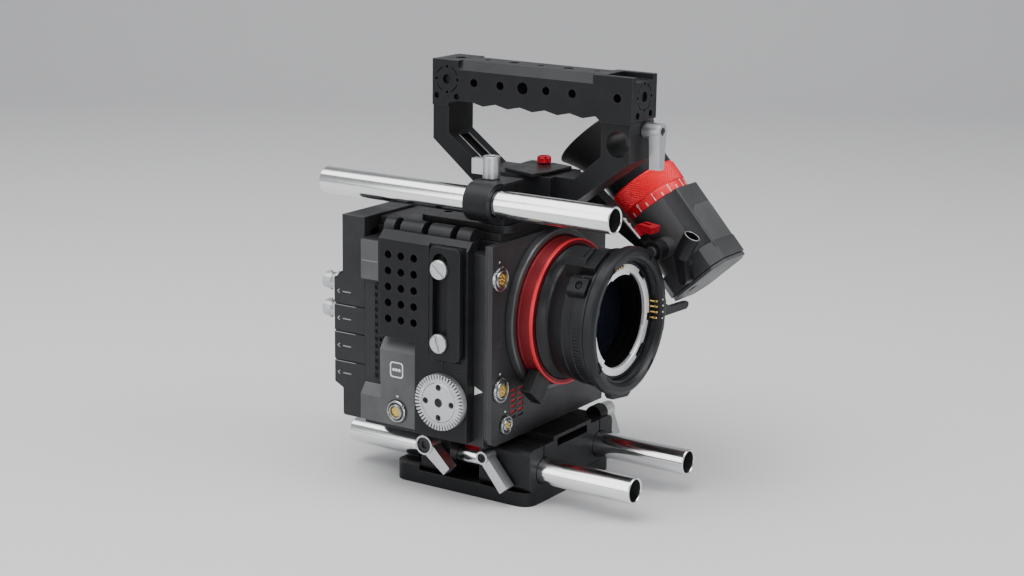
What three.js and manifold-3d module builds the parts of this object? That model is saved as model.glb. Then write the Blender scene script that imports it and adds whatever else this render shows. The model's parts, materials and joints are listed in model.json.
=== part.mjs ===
// Cinema camera rig, in millimetres. +Z is up, the lens looks towards -Y and +X is the operator's left.
// The origin is the middle of the base plate's underside, on the vertical plane through the lens axis.
import * as THREE from 'three';
import { mergeVertices } from 'three/addons/utils/BufferGeometryUtils.js';
import Module from 'manifold-3d';

const wasm = await Module();
wasm.setup();

// Driving dimensions
const GAP = 0.3;
const RUN = 0.4;
const ROD = { r: 7.5, wall: 1.3, length: 190, spacing: 60, z: 18.5, front: -105 };
const TOP_ROD = { x: -50, z: 171.1, front: -99.8 };
const LENS_Z = ROD.z + 85;
const AXIS = [0, LENS_Z];
const THROAT_R = 27;
const BODY = { half: 60.5, front: -25.6, rear: 55.5, bottom: 36, top: 149.3, wall: 3 };
const FACE = { half: 60.5, front: -29.6, rear: -25.9, chamfer: 1.5 };
const SIDE_SEAT = BODY.half + GAP;
const CHEEK_X = -67.2;
const RAIL_X = -71.2;
const ROSETTE_D = 31.8;
const DECK = { bottom: 153.8, top: 157.8 };
const HANDLE = {
  half: 13, top: 240, bar: 217.5, rear: 43.5, front: -86.7, foot: DECK.top + GAP, deck: 181.3,
};
const EYE_POINT = new THREE.Vector3(70, -52.9, 160.8);
const EYE_TILT = THREE.MathUtils.degToRad(-41.7);
const TILT_AXIS = { y: -75.5, z: 136 };
const CROSS_ROD = { y: -29, z: 166, r: 5.5 };
const ARM = [33, 42];
const FINDER_LOCK = [-67, 147.5];
const LOCK_SLOT = [36, 39];
const CENTRE = [0, 0];
const BASE_TOP = BODY.bottom - GAP;

// Finishes: colour, roughness, metalness
const BLACK = [0x1b1c1e, 0.5, 0.6];
const CHARCOAL = [0x2b2c2e, 0.55, 0.6];
const GREY = [0x55575a, 0.5, 0.6];
const STEEL = [0xb9bbbd, 0.32, 1];
const CHROME = [0xe6e8ea, 0.08, 1];
const RED = [0xb3151c, 0.35, 0.8];
const GOLD = [0xcaa23c, 0.3, 1];
const GLASS = [0x0b0d12, 0.05, 0];
const RUBBER = [0x151515, 0.9, 0];
const BOARD = [0x1d5c38, 0.6, 0.1];

// ---- Solids ------------------------------------------------------------------------------------

function solid(geometry) {
  const bare = geometry.clone();
  bare.deleteAttribute('normal');
  bare.deleteAttribute('uv');
  const merged = mergeVertices(bare, 1e-4);
  const vertProperties = new Float32Array(merged.attributes.position.array);
  const triVerts = new Uint32Array(merged.index.array);
  return new wasm.Manifold(new wasm.Mesh({ numProp: 3, vertProperties, triVerts }));
}

function block([x0, x1], [y0, y1], [z0, z1]) {
  const box = new THREE.BoxGeometry(x1 - x0, y1 - y0, z1 - z0);
  box.translate((x0 + x1) / 2, (y0 + y1) / 2, (z0 + z1) / 2);
  return solid(box);
}

function polygon(points) {
  const corners = points.map(([u, v]) => new THREE.Vector2(u, v));
  return new THREE.Shape(THREE.ShapeUtils.isClockWise(corners) ? corners.reverse() : corners);
}

function disc(r, u = 0, v = 0) {
  return new THREE.Shape().absarc(u, v, r, 0, Math.PI * 2);
}

function rounded([u0, u1], [v0, v1], r) {
  const shape = new THREE.Shape();
  shape.absarc(u1 - r, v0 + r, r, -Math.PI / 2, 0);
  shape.absarc(u1 - r, v1 - r, r, 0, Math.PI / 2);
  shape.absarc(u0 + r, v1 - r, r, Math.PI / 2, Math.PI);
  shape.absarc(u0 + r, v0 + r, r, Math.PI, Math.PI * 1.5);
  return shape;
}

// Extrudes a shape along an axis. It is drawn in (y, z) for x, in (x, z) for y and in (x, y) for z.
function prism(axis, shape, from, to, curveSegments = 12) {
  const geometry = new THREE.ExtrudeGeometry(shape, { depth: to - from, bevelEnabled: false, curveSegments });
  const X = new THREE.Vector3(1, 0, 0);
  const Y = new THREE.Vector3(0, 1, 0);
  const Z = new THREE.Vector3(0, 0, 1);
  const turn = new THREE.Matrix4();
  if (axis === 'x') {
    turn.makeBasis(Y, Z, X).setPosition(from, 0, 0);
  } else if (axis === 'y') {
    turn.makeBasis(X, Z, Y.negate()).setPosition(0, to, 0);
  } else {
    turn.setPosition(0, 0, from);
  }
  return solid(geometry.applyMatrix4(turn));
}

// A round bar or hole along an axis, with 2 * curveSegments sides.
function pin(axis, r, from, to, [u, v], curveSegments = 12) {
  return prism(axis, disc(r, u, v), from, to, curveSegments);
}

// Turns a closed outline of [radius, distance along the axis] points about the axis through (u, v).
function turned(axis, points, [u, v], sides = 32) {
  let area = 0;
  points.forEach(([r, h], i) => {
    const [nextR, nextH] = points[(i + 1) % points.length];
    area += r * nextH - nextR * h;
  });
  const loop = area > 0 ? [...points] : [...points].reverse();
  const solidCore = loop.some(([r]) => r === 0);
  if (solidCore) {
    while (loop[0][0] !== 0 || loop[loop.length - 1][0] !== 0) {
      loop.push(loop.shift());
    }
  } else {
    loop.push(loop[0]);
  }
  const geometry = new THREE.LatheGeometry(loop.map(([r, h]) => new THREE.Vector2(r, h)), sides);
  if (axis === 'x') {
    geometry.rotateZ(-Math.PI / 2).translate(0, u, v);
  } else if (axis === 'y') {
    geometry.translate(u, 0, v);
  } else {
    geometry.rotateX(Math.PI / 2).translate(u, v, 0);
  }
  return solid(geometry);
}

// Turns a body about an axis through (a, b), counted as in the prism shapes.
function swung(body, axis, degrees, [a, b]) {
  const centre = { x: [0, a, b], y: [a, 0, b], z: [a, b, 0] }[axis];
  const spin = { x: [degrees, 0, 0], y: [0, degrees, 0], z: [0, 0, degrees] }[axis];
  return body.translate(centre.map((c) => -c)).rotate(spin).translate(centre);
}

function joined(bodies) {
  return bodies.reduce((sum, body) => sum.add(body));
}

function cut(body, tools) {
  return tools.reduce((rest, tool) => rest.subtract(tool), body);
}

function part(name, body, [color, roughness, metalness]) {
  const { vertProperties, triVerts } = body.getMesh();
  const geometry = new THREE.BufferGeometry();
  geometry.setAttribute('position', new THREE.BufferAttribute(new Float32Array(vertProperties), 3));
  geometry.setIndex(new THREE.BufferAttribute(new Uint32Array(triVerts), 1));
  geometry.computeVertexNormals();
  const mesh = new THREE.Mesh(geometry, new THREE.MeshStandardMaterial({ color, roughness, metalness }));
  mesh.name = name;
  return mesh;
}

// ---- Camera body -------------------------------------------------------------------------------

const SHOULDER = { x: 47.7, z: 144 };

// Open box section with lowered shoulders and a raised label pad on the right.
function bodyShell() {
  const { half, front, rear, bottom, top, wall } = BODY;
  const outer = polygon([
    [-half, bottom], [half, bottom], [half, SHOULDER.z], [SHOULDER.x, SHOULDER.z],
    [SHOULDER.x, top], [-SHOULDER.x, top], [-SHOULDER.x, SHOULDER.z], [-half, SHOULDER.z],
  ]);
  outer.holes.push(polygon([
    [wall - half, bottom + wall], [half - wall, bottom + wall],
    [half - wall, SHOULDER.z - wall], [wall - half, SHOULDER.z - wall],
  ]));
  const pad = block([-64.3, 1 - half], [42.5, rear], [120.7, SHOULDER.z]);
  const mountBore = pin('y', 43, front - 1, -17, AXIS, 18);
  return prism('y', outer, front, rear).add(pad).subtract(mountBore);
}

const SOCKETS = [
  { name: 'front_socket_upper', x: -52.3, z: 130.3, r: 7.2 },
  { name: 'front_socket_middle', x: -50.6, z: 67.2, r: 7.2 },
  { name: 'front_socket_lower', x: -45, z: 46, r: 5.5 },
];

function frontPlate() {
  const { half, front, rear, chamfer } = FACE;
  const outline = polygon([
    [-half, rear], [-half, front + chamfer], [chamfer - half, front], [half - chamfer, front],
    [half, front + chamfer], [half, rear],
  ]);
  const plate = prism('z', outline, BODY.bottom, BODY.top);
  const bores = SOCKETS.map(({ x, z, r }) => pin('y', r - 1.8, front - 1, rear + 1, [x, z], 6));
  return cut(plate, [pin('y', 43, front - 1, rear + 1, AXIS, 18), ...bores]);
}

// Round multi-pin socket: nut in front, neck through the plate, pin face sunk in the middle.
function frontSocket({ x, z, r }) {
  const seat = FACE.front - GAP;
  const front = seat - 2.2;
  return turned('y', [
    [0, -19], [r - 2.3, -19], [r - 2.3, seat], [r, seat], [r, front + 0.6], [r - 0.6, front],
    [r - 1.8, front], [r - 2.1, front + 1.8], [0, front + 1.8],
  ], [x, z], 14);
}

const VENTS = { y: [34.4, 25.7, 16.9], top: 137.9, pitch: 9.1, rows: 5, r: 2.2 };
const RAIL = { y: [-16.5, 3.6], z: [84.7, 147.7], slotY: -3.5, slotHalf: 4.9, slotZ: [88.7, 144.2] };
const RAIL_SCREW_Z = [135.5, 94.2];
const ROSETTE = [-3.5, 60.6];

// Thick side plate that carries the rail and the rosette, with ventilation holes behind them.
function rightSidePlate() {
  const outline = polygon([
    [-19, 38.5], [16, 38.5], [16, 91], [40.5, 91], [40.5, 151], [-19, 151],
  ]);
  const vents = [];
  for (const y of VENTS.y) {
    for (let row = 0; row < VENTS.rows; row++) {
      const centre = [y, VENTS.top - row * VENTS.pitch];
      vents.push(pin('x', VENTS.r, CHEEK_X - 1, 1 - SIDE_SEAT, centre, 4));
    }
  }
  const corner = polygon([[CHEEK_X - 1, 145.6], [CHEEK_X + 4.5, 151.1], [CHEEK_X - 1, 152]]);
  const topBevel = prism('y', corner, -20, 45);
  const screwHoles = RAIL_SCREW_Z.map((z) => (
    pin('x', 3 + RUN, CHEEK_X - 1, 1 - SIDE_SEAT, [RAIL.slotY, z], 8)
  ));
  return cut(prism('x', outline, CHEEK_X, -SIDE_SEAT), [topBevel, ...vents, ...screwHoles]);
}

function slottedRail() {
  const { y, z, slotY, slotHalf, slotZ } = RAIL;
  const shape = rounded(y, z, 3);
  const slot = new THREE.Path();
  slot.absarc(slotY, slotZ[1] - slotHalf, slotHalf, 0, Math.PI);
  slot.absarc(slotY, slotZ[0] + slotHalf, slotHalf, Math.PI, Math.PI * 2);
  shape.holes.push(slot);
  return prism('x', shape, RAIL_X, CHEEK_X - GAP, 6);
}

// Round-headed clamping screw with a straight driver slot.
function railScrew(z, slotAngle) {
  const seat = RAIL_X - GAP;
  const head = seat - 2;
  const screw = turned('x', [
    [0, -61.2], [3, -61.2], [3, seat], [5.45, seat], [5.45, head + 0.5], [4.9, head], [0, head],
  ], [RAIL.slotY, z], 16);
  const slot = block([head - 1, head + 0.8], [RAIL.slotY - 7, RAIL.slotY + 7], [z - 0.7, z + 0.7]);
  return screw.subtract(swung(slot, 'x', slotAngle, [RAIL.slotY, z]));
}

function rosette() {
  const face = CHEEK_X - 5;
  const r = ROSETTE_D / 2;
  const [y, z] = ROSETTE;
  const plate = turned('x', [
    [0, CHEEK_X - GAP], [r, CHEEK_X - GAP], [r, face + 0.9], [12.2, face + 0.9], [11.8, face], [0, face],
  ], ROSETTE, 36);
  const holes = [0, 1, 2, 3].map((i) => {
    const angle = i * Math.PI / 2;
    return pin('x', 1.5, face - 1, face + 1.6, [y + 9.6 * Math.cos(angle), z + 9.6 * Math.sin(angle)], 4);
  });
  return cut(plate, [pin('x', 2.6, face - 1, CHEEK_X + 1, ROSETTE, 8), ...holes]);
}

const DC_SOCKET = [29.3, 48.3];
const PANEL_X = -65.3;

// Stepped panel below and behind the side plate, with a sloping upper edge on each step.
function powerPanel() {
  const outline = polygon([
    [16.4, 39.5], [55.2, 39.5], [55.2, 61.6], [41.5, 61.6], [41.5, 90.2], [16.4, 90.2],
  ]);
  const seat = 1 - SIDE_SEAT;
  const slope = (top, y) => prism('y', polygon([
    [PANEL_X - 1, top - 8.5], [PANEL_X, top - 7.5], [seat, top + 0.1], [seat, top + 2],
    [PANEL_X - 1, top + 2],
  ]), y[0], y[1]);
  return cut(prism('x', outline, PANEL_X, -SIDE_SEAT), [
    slope(90.2, [15, 42]), slope(61.6, [41, 60]), pin('x', 4.9, PANEL_X - 1, seat, DC_SOCKET, 10),
  ]);
}

function dcSocket() {
  const seat = PANEL_X - GAP;
  return turned('x', [
    [0, -61], [4.5, -61], [4.5, seat], [6.3, seat], [6.3, seat - 1.4], [5.6, seat - 2.2],
    [4.6, seat - 2.2], [4.2, seat + 0.5], [0, seat + 0.5],
  ], DC_SOCKET, 16);
}

const LEFT = { inner: SIDE_SEAT, outer: -CHEEK_X };
const RECORD_BUTTON = [40, 66];
const CARD_BAY = { y: [-10, 26], z: [44, 80], depth: 5.5 };

// Control side: record button above the covered recording bay.
function leftSidePlate() {
  const plate = prism('x', rounded([-19, 52], [38.5, 143], 5), LEFT.inner, LEFT.outer, 3);
  const { y, z, depth } = CARD_BAY;
  const bay = block([LEFT.outer - depth, LEFT.outer + 1], [y[0] + 2, y[1] - 2], [z[0] + 2, z[1] - 2]);
  const button = pin('x', 5, LEFT.outer - 3.5, LEFT.outer + 1, RECORD_BUTTON, 8);
  const screen = block([LEFT.outer - 0.8, LEFT.outer + 1], [-6, 34], [100, 130]);
  return cut(plate, [bay, button, screen]);
}

function recordButton() {
  return pin('x', 4.5, LEFT.outer - 1.5, LEFT.outer + 1.5, RECORD_BUTTON, 10);
}

function mediaCard() {
  const { y, z, depth } = CARD_BAY;
  return block([LEFT.outer - depth + 0.5, LEFT.outer - 0.8], [y[0] + 3, y[1] - 3], [z[0] + 3, z[1] - 3]);
}

const DOOR_HINGE = [LEFT.outer + 2, CARD_BAY.y[1] + 1.5];

function mediaDoor() {
  const { y, z } = CARD_BAY;
  const leaf = prism('x', rounded(y, z, 2), LEFT.outer + GAP, LEFT.outer + 2.3, 3);
  return leaf.add(pin('z', 1.6, z[0] + 3, z[1] - 3, DOOR_HINGE, 6));
}

// Roof deck with a rounded guard rib along both sides, each rib broken by three gaps.
function topCover() {
  const deck = block([-46, 46], [BODY.front, BODY.rear - GAP], [BODY.top + GAP, DECK.bottom - GAP]);
  const ribGaps = [35, 16, -3].map((y) => block([-60, 60], [y - 2.2, y + 2.2], [140, 160]));
  const under = block([-60, 60], [-20, 60], [140, SHOULDER.z + GAP]);
  const overCheek = block([-60, 1 - SIDE_SEAT], [-20, 60], [140, 160]);
  const ribs = [-1, 1].map((side) => {
    const rib = pin('y', 5.9, -14, 44, [side * 52.5, 150], 6);
    const web = block([44, 51.5], [-14, 44], [BODY.top + GAP + 0.1, DECK.bottom - GAP - 0.1]);
    const inner = block([35, SHOULDER.x + GAP], [-20, 60], [140, BODY.top + GAP]);
    const reach = side < 0 ? [web.mirror([1, 0, 0]), inner.mirror([1, 0, 0])] : [web, inner];
    return cut(rib.add(reach[0]), [reach[1], under, overCheek, ...ribGaps]);
  });
  return joined([deck, ...ribs]);
}

const BACK = { front: BODY.rear + GAP, step: 71.5, deep: 77.5, top: 152 };

// Rear housing: a deep middle step that carries the connectors, between two shallower ones.
function backModule() {
  const { front, step, deep, top } = BACK;
  const outline = polygon([
    [front, 37.5], [step - 1, 37.5], [step, 38.5], [step, 53.5], [deep, 56.5], [deep, 118], [step, 121],
    [step, top], [front, top],
  ]);
  const shell = prism('x', outline, -BODY.half, BODY.half);
  const hollow = block([-54, 54], [front - 1, 69], [41, 147]);
  const grooves = [102.7, 86.7, 69.7].map((z) => (
    block([-62, 1 - BODY.half], [front - 1, deep + 1], [z - 0.4, z + 0.4])
  ));
  const lid = block([-BODY.half, 40], [front, step], [top - 1, top + 3]);
  return cut(shell, [hollow, ...grooves]).add(lid);
}

const BATTERY = { front: BACK.deep + GAP, back: 83.8, x: 40, z: [58, 116] };
const LATCH = [81, 106];

// Battery mounting plate with a tapered dovetail recess, narrow end at the bottom.
function batteryPlate() {
  const { front, back, x, z } = BATTERY;
  const plate = prism('y', rounded([-x, x], z, 5), front, back, 3);
  const taper = polygon([[-11, 72], [11, 72], [17, z[1] + 1], [-17, z[1] + 1]]);
  const wedge = prism('y', taper, back - 2.6, back + 1);
  return cut(plate, [wedge, pin('x', 1.9 + RUN, 28, x + 1, LATCH, 6)]);
}

function batteryLatch() {
  return pin('x', 1.9, 32, BATTERY.x + 4, LATCH, 8);
}

// Coaxial output with two bayonet lugs.
function bnc(z) {
  const base = BACK.deep + GAP;
  const barrel = turned('y', [
    [0, base], [6.2, base], [6.2, base + 1.6], [4.8, base + 1.6],
    [4.8, 88.5], [3.8, 88.5], [3.8, 82], [0, 82],
  ], [-53, z], 12);
  const lugs = pin('z', 1, z - 5.6, z + 5.6, [-53, 85.5], 5);
  return barrel.add(lugs.subtract(pin('y', 4.2, 80, 92, [-53, z], 8)));
}

// ---- Inside the body ---------------------------------------------------------------------------

function imageSensor() {
  const chip = block([-20, 20], [-14, -11], [LENS_Z - 12, LENS_Z + 12]);
  return chip.add(block([-32, 32], [-11.1, -8], [LENS_Z - 24, LENS_Z + 24]));
}

function heatSink() {
  const fins = [];
  for (let i = 0; i < 8; i++) {
    const x = -28 + i * 8;
    fins.push(block([x - 0.8, x + 0.8], [-5, 10], [LENS_Z - 22, LENS_Z + 22]));
  }
  return joined([block([-30, 30], [-7.7, -4.9], [LENS_Z - 22, LENS_Z + 22]), ...fins]);
}

const FAN = { y: [14, 24], hub: 9, tip: 21, blades: 7 };

function coolingFan() {
  const { y, hub, tip, blades } = FAN;
  const middle = (y[0] + y[1]) / 2;
  const parts = [pin('y', hub, y[0], y[1], AXIS, 8)];
  for (let i = 0; i < blades; i++) {
    const blade = block([hub - 1.5, tip], [-5, 5], [-0.8, 0.8]).rotate([42, 0, 0]);
    parts.push(swung(blade.translate([0, middle, LENS_Z]), 'y', i * 360 / blades, AXIS));
  }
  return joined(parts);
}

function mainBoard() {
  const chips = [[-26, 66], [12, 74], [-8, 114]].map(([x, z]) => block([x, x + 14], [27, 30.1], [z, z + 14]));
  return joined([block([-50, 50], [30, 32], [44, 136]), ...chips]);
}

// ---- Lens mount --------------------------------------------------------------------------------

function mountBaseRing() {
  return turned('y', [
    [38.5, -18], [42.6, -18], [42.6, -29.9], [46.3, -29.9], [46.3, -33.6], [45.3, -34.6],
    [42.2, -34.6], [42.2, -30.2], [38.5, -30.2],
  ], AXIS, 32);
}

// Outer locking ring with one square finger tab, low on the right.
function mountLockingRing() {
  const ring = turned('y', [[38.5, -30.6], [41.7, -30.6], [41.5, -35], [40.5, -43], [38.5, -44]], AXIS, 32);
  const tab = block([40, 55], [-43, -36.2], [LENS_Z - 7.5, LENS_Z + 7.5]);
  return ring.add(swung(tab, 'y', 129, AXIS));
}

// Lens adapter: waisted barrel with two side lugs, a nose for the locking ring and a glass groove.
function mountAdapter() {
  const bore = THROAT_R + GAP;
  const barrel = turned('y', [
    [bore, -22], [38.1, -22], [38.1, -44.3], [34.5, -48.5], [36, -52.5], [38, -60], [39, -73.7],
    [33.1, -73.7], [33.1, -76], [31.8, -76], [31.8, -73.2], [bore, -73.2], [bore, -60.6], [30, -60.6],
    [30, -57.4], [bore, -57.4],
  ], AXIS, 32);
  const lug = block([35, 42.5], [-73.6, -62], [LENS_Z - 5, LENS_Z + 5]);
  const release = block([35, 45], [-73.6, -55], [LENS_Z - 8, LENS_Z + 8]);
  return joined([barrel, swung(lug, 'y', -143, AXIS), swung(release, 'y', -117, AXIS)]);
}

// Front locking ring with two low lobes and a flat lever on the operator's left.
function lensLockRing() {
  const ring = turned('y', [
    [33.5, -74], [40.4, -74], [42, -76], [42, -80.3], [40.6, -82], [36, -82], [34.6, -79.5], [33.5, -79.5],
  ], AXIS, 32);
  const lobes = [7, 97].map((angle) => {
    return swung(block([38, 43.4], [-80, -75.5], [LENS_Z - 10, LENS_Z + 10]), 'y', angle, AXIS);
  });
  const lever = swung(block([40, 69], [-81, -78], [LENS_Z - 3.4, LENS_Z + 1.8]), 'y', 3, AXIS);
  return joined([ring, ...lobes, lever]);
}

function lensFlange() {
  const shape = disc(31.5, ...AXIS);
  shape.holes.push(disc(THROAT_R, ...AXIS));
  const notches = [45, 135, 225, 315].map((angle) => {
    return swung(block([29.4, 33], [-80, -70], [LENS_Z - 2.4, LENS_Z + 2.4]), 'y', angle, AXIS);
  });
  return cut(prism('y', shape, -75.7, -73.5, 18), notches);
}

function sensorGlass() {
  return pin('y', 29.6, -60.3, -57.7, AXIS, 16);
}

// ---- Top plate, upper rod and handle -----------------------------------------------------------

function topPlate() {
  const plate = prism('z', rounded([-45, 45], [-30, 30], 6), DECK.bottom, DECK.top, 4);
  const holes = [];
  for (const x of [-30, 30]) {
    for (const y of [6, 20]) {
      holes.push(pin('z', 2.8, DECK.bottom - 1, DECK.top + 1, [x, y], 4));
    }
  }
  return cut(plate, holes);
}

const CLAMP = { y: [-26.5, -10.5], r: 10.8, lever: [-38, -14] };

// Split ring round the upper rod, with an ear and a foot that stands on the top plate.
function rodClamp() {
  const { y, r, lever } = CLAMP;
  const { x, z } = TOP_ROD;
  const reach = [y[0] - 1, y[1] + 1];
  const ear = block([x + 4, x + 20], y, [z - 6, z + 9.6]);
  const foot = block([x + 6, x + 17], y, [HANDLE.foot, z]);
  const cap = block([x + 3, x + 22], [y[0] - 2, y[1] + 2], [z + 9, z + 10.4]);
  const bore = pin('y', ROD.r + RUN, reach[0] - 2, reach[1] + 2, [x, z], 12);
  const slit = block([x, x + 25], [y[0] - 3, y[1] + 3], [z + 1.5, z + 3]);
  const bolt = pin('z', 2.6, z + 1, z + 12, lever, 6);
  return cut(joined([pin('y', r, y[0], y[1], [x, z], 14), ear, foot, cap]), [bore, slit, bolt]);
}

// A clamping lever about a hub on the Z axis. Its arm runs towards +X between two heights on the hub
// and narrows from root to tip.
function clampLever({ hub, bore, height, arm, reach, root, tip }) {
  const outline = polygon([[0, -root / 2], [reach, -tip / 2], [reach, tip / 2], [0, root / 2]]);
  const body = pin('z', hub, 0, height, [0, 0], 10).add(prism('z', outline, arm[0], arm[1]));
  return body.subtract(pin('z', bore, height - 4, height + 1, [0, 0], 6));
}

function rodClampLever() {
  const lever = clampLever({
    hub: 4.8, bore: 2.6, height: 12.2, arm: [2, 10.5], reach: 11, root: 7.5, tip: 5,
  });
  return lever.rotate([0, 0, 96]).translate([...CLAMP.lever, TOP_ROD.z + 10.4 + GAP]);
}

function rodTube(x, z, front) {
  const shape = disc(ROD.r, x, z);
  shape.holes.push(disc(ROD.r - ROD.wall, x, z));
  return prism('y', shape, front, front + ROD.length, 14);
}

const HANDLE_HOLES = [15.3, -2.2, -17, -32.2, -49, -77.3];
const GRIP = [-62, 26];

// Closed handle loop: bar with finger scallops, rear and front posts, sloping legs and a foot block.
function topHandle() {
  const { half, top, bar, rear, front, foot, deck } = HANDLE;
  const outline = polygon([
    [rear, top], [rear, 194.5], [0.5, 160.7], [-4, foot], [-38, foot], [-44, 163.5], [-84.5, 193.5],
    [-84.5, 214.8], [front, 216], [front, top],
  ]);
  const scallops = [];
  for (let i = 1; i < 20; i++) {
    scallops.push([-64 + 81 * i / 20, bar - 0.9 + 0.9 * Math.cos(i / 20 * Math.PI * 10)]);
  }
  outline.holes.push(polygon([
    [17, bar], [31, bar], [32.8, bar - 2], [32.8, 198.5], [9.5, deck], [-50, deck], [-66.5, 195.3],
    [-66.5, bar - 2], [-64, bar], ...scallops,
  ]));
  outline.holes.push(disc(7.2, -77, 203));
  const loop = prism('x', outline, -half, half, 8);
  const footBlock = block([-16, 16], [-38, -4], [foot, deck]);
  const edges = [-1, 1].map((side) => prism('y', polygon([
    [side * (half + 1), 234], [side * (half + 1), top + 1], [side * (half - 6), top + 1],
  ]), GRIP[0], GRIP[1]));
  const coverSeat = block([-7.5, 7.5], [GRIP[0] - GAP, GRIP[1] + GAP], [top - 2.2, top + 1]);
  const sideHoles = HANDLE_HOLES.map((y) => (
    pin('x', y === -17 ? 3.3 : 2.3, -half - 1, half + 1, [y, 228.3], 4)
  ));
  const socket = pin('x', CROSS_ROD.r + RUN, -4, 17, [CROSS_ROD.y, CROSS_ROD.z], 12);
  const frontNeck = block([half - 2.5, half + 1], [-90, -38.1], [foot - 1, 214.8]);
  const rearNeck = block([half - 1, half + 1], [-3.9, 50], [foot - 1, 214]);
  const necks = [frontNeck, rearNeck].flatMap((neck) => [neck, neck.mirror([1, 0, 0])]);
  const channels = [
    block([-4.5, 4.5], [2, 26], [-2.5, 4]).rotate([36.4, 0, 0]).translate([0, 9.5, deck]),
    block([-4.5, 4.5], [-19, -2], [-2.5, 4]).rotate([-40.3, 0, 0]).translate([0, -50, deck]),
  ];
  const rearHole = pin('z', 3, top - 3, top + 1, [0, 33], 6);
  const notch = block([-9, 9], [-90, -68], [top - 3, top + 1]);
  return cut(loop.add(footBlock), [
    ...edges, coverSeat, ...sideHoles, socket, ...necks, ...channels, rearHole, notch,
  ]);
}

function handleTopCover() {
  const { top } = HANDLE;
  const plate = block([-7.2, 7.2], GRIP, [top - 1.9, top]);
  const holes = [14.5, -3, -20.5, -38.5, -56.5].map((y, i) => {
    return pin('z', i % 2 ? 3 : 1.8, top - 3, top + 1, [0, y], 4);
  });
  return cut(plate, holes);
}

const THUMBSCREW = [11, -16.7];

// Flat many-sided cover over the ports in the handle's foot, held by a thumbscrew.
function handlePortCover() {
  const outline = polygon([[-14, -6.5], [16, -5], [16, -19], [13, -34], [-11, -33], [-21, -29.5]]);
  const bottom = HANDLE.deck + GAP;
  const screwHole = pin('z', 1.9, bottom - 1, bottom + 3, THUMBSCREW, 5);
  return prism('z', outline, bottom, bottom + 1.7).subtract(screwHole);
}

function handleThumbscrew() {
  const seat = HANDLE.deck + GAP + 1.7 + GAP;
  return turned('z', [
    [0, seat - 1.8], [1.4, seat - 1.8], [1.4, seat], [4, seat], [4, seat + 3.4], [3.4, seat + 4],
    [2, seat + 4], [2, seat + 2.5], [0, seat + 2.5],
  ], THUMBSCREW, 16);
}

const HANDLE_LEVER = [5, 210];

function handleLever() {
  const lever = clampLever({
    hub: 4.5, bore: 2.3, height: 11, arm: [4.5, 10.9], reach: 21, root: 8, tip: 5,
  });
  const base = -84.5 - GAP;
  return lever.rotate([90, 0, 0]).rotate([0, 90, 0]).translate([HANDLE_LEVER[0], base, HANDLE_LEVER[1]]);
}

// ---- Viewfinder support ------------------------------------------------------------------------

function finderCrossRod() {
  return pin('x', CROSS_ROD.r, 0, 48, [CROSS_ROD.y, CROSS_ROD.z], 12);
}

// Flat arm clamped on the cross rod, running forwards and down to the tilt hinge.
function finderArm() {
  const { y, z, r } = CROSS_ROD;
  const eye = [TILT_AXIS.y, TILT_AXIS.z];
  const clamp = pin('x', r + 2.4, ARM[0], ARM[1], [y, z], 12);
  const bar = polygon([[y, z + 7], [y, z - 7], [eye[0], eye[1] - 5], [eye[0], eye[1]]]);
  const lugX = [LOCK_SLOT[0] + GAP, LOCK_SLOT[1] - GAP];
  const lug = pin('x', 2.8, lugX[0], lugX[1], FINDER_LOCK, 8);
  const lugFoot = block(lugX, [FINDER_LOCK[0] - 2.4, FINDER_LOCK[0] + 2.4], [138, FINDER_LOCK[1]]);
  const body = joined([
    clamp, pin('x', 6, ARM[0], ARM[1], eye, 10), prism('x', bar, ARM[0], ARM[1]), lug, lugFoot,
  ]);
  return cut(body, [
    pin('x', r + RUN, ARM[0] - 1, ARM[1] + 1, [y, z], 12),
    pin('x', 3.2 + RUN, ARM[0] - 1, ARM[1] + 1, eye, 8),
    pin('x', 1.6, LOCK_SLOT[0] - 1, LOCK_SLOT[1] + 1, FINDER_LOCK, 5),
  ]);
}

// Cam lever on top of the arm that locks the tilt, forked over the arm's lug.
function finderLockLever() {
  const [y, z] = FINDER_LOCK;
  const hub = pin('x', 3.4, ARM[0], ARM[1], FINDER_LOCK, 8);
  const arm = polygon([[y, z - 1], [y - 7.5, z - 1.6], [y - 8.5, z + 2.2], [y, z + 3.4]]);
  const slot = block(LOCK_SLOT, [y - 4.5, y + 4.5], [z - 5, z + 5]);
  const pivot = pin('x', 1.2, LOCK_SLOT[0] - 0.5, LOCK_SLOT[1] + 0.5, FINDER_LOCK, 5);
  return hub.add(prism('x', arm, ARM[0], ARM[1])).subtract(slot).add(pivot);
}

const TILT_LEVER = { x: 43.6, pivot: [-91, 120], grip: [-88.4, 133.5], lean: 28 };

// Thumb lever for the tilt lock: a hollow grip on a flat stem that turns about the stem's lower end.
function finderTiltLever() {
  const { x, pivot, grip, lean } = TILT_LEVER;
  const [y, z] = pivot;
  const tube = pin('z', 4.9, 0, 14, CENTRE, 10).subtract(pin('z', 4.1, 3, 15, CENTRE, 10));
  const stem = polygon([
    [y - 2.5, z], [y + 2.5, z], [grip[0] + 3.8, grip[1] + 1.5], [grip[0] - 3.2, grip[1] + 2.5],
  ]);
  return joined([
    tube.rotate([lean, 0, 0]).translate([x, ...grip]), prism('x', stem, x - 2.4, x + 2.4),
    pin('x', 2.6, x - 2.4, 50.6, pivot, 8),
  ]);
}

// ---- Viewfinder, in its own frame: +Z runs to the eyecup, -Z to the screen end and -Y is its front

// The tilt hinge as [y, z] in the viewfinder's own frame.
function hingeInFinder() {
  const hinge = new THREE.Vector3(0, TILT_AXIS.y - EYE_POINT.y, TILT_AXIS.z - EYE_POINT.z);
  hinge.applyAxisAngle(new THREE.Vector3(1, 0, 0), -EYE_TILT);
  return [hinge.y, hinge.z];
}

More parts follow.
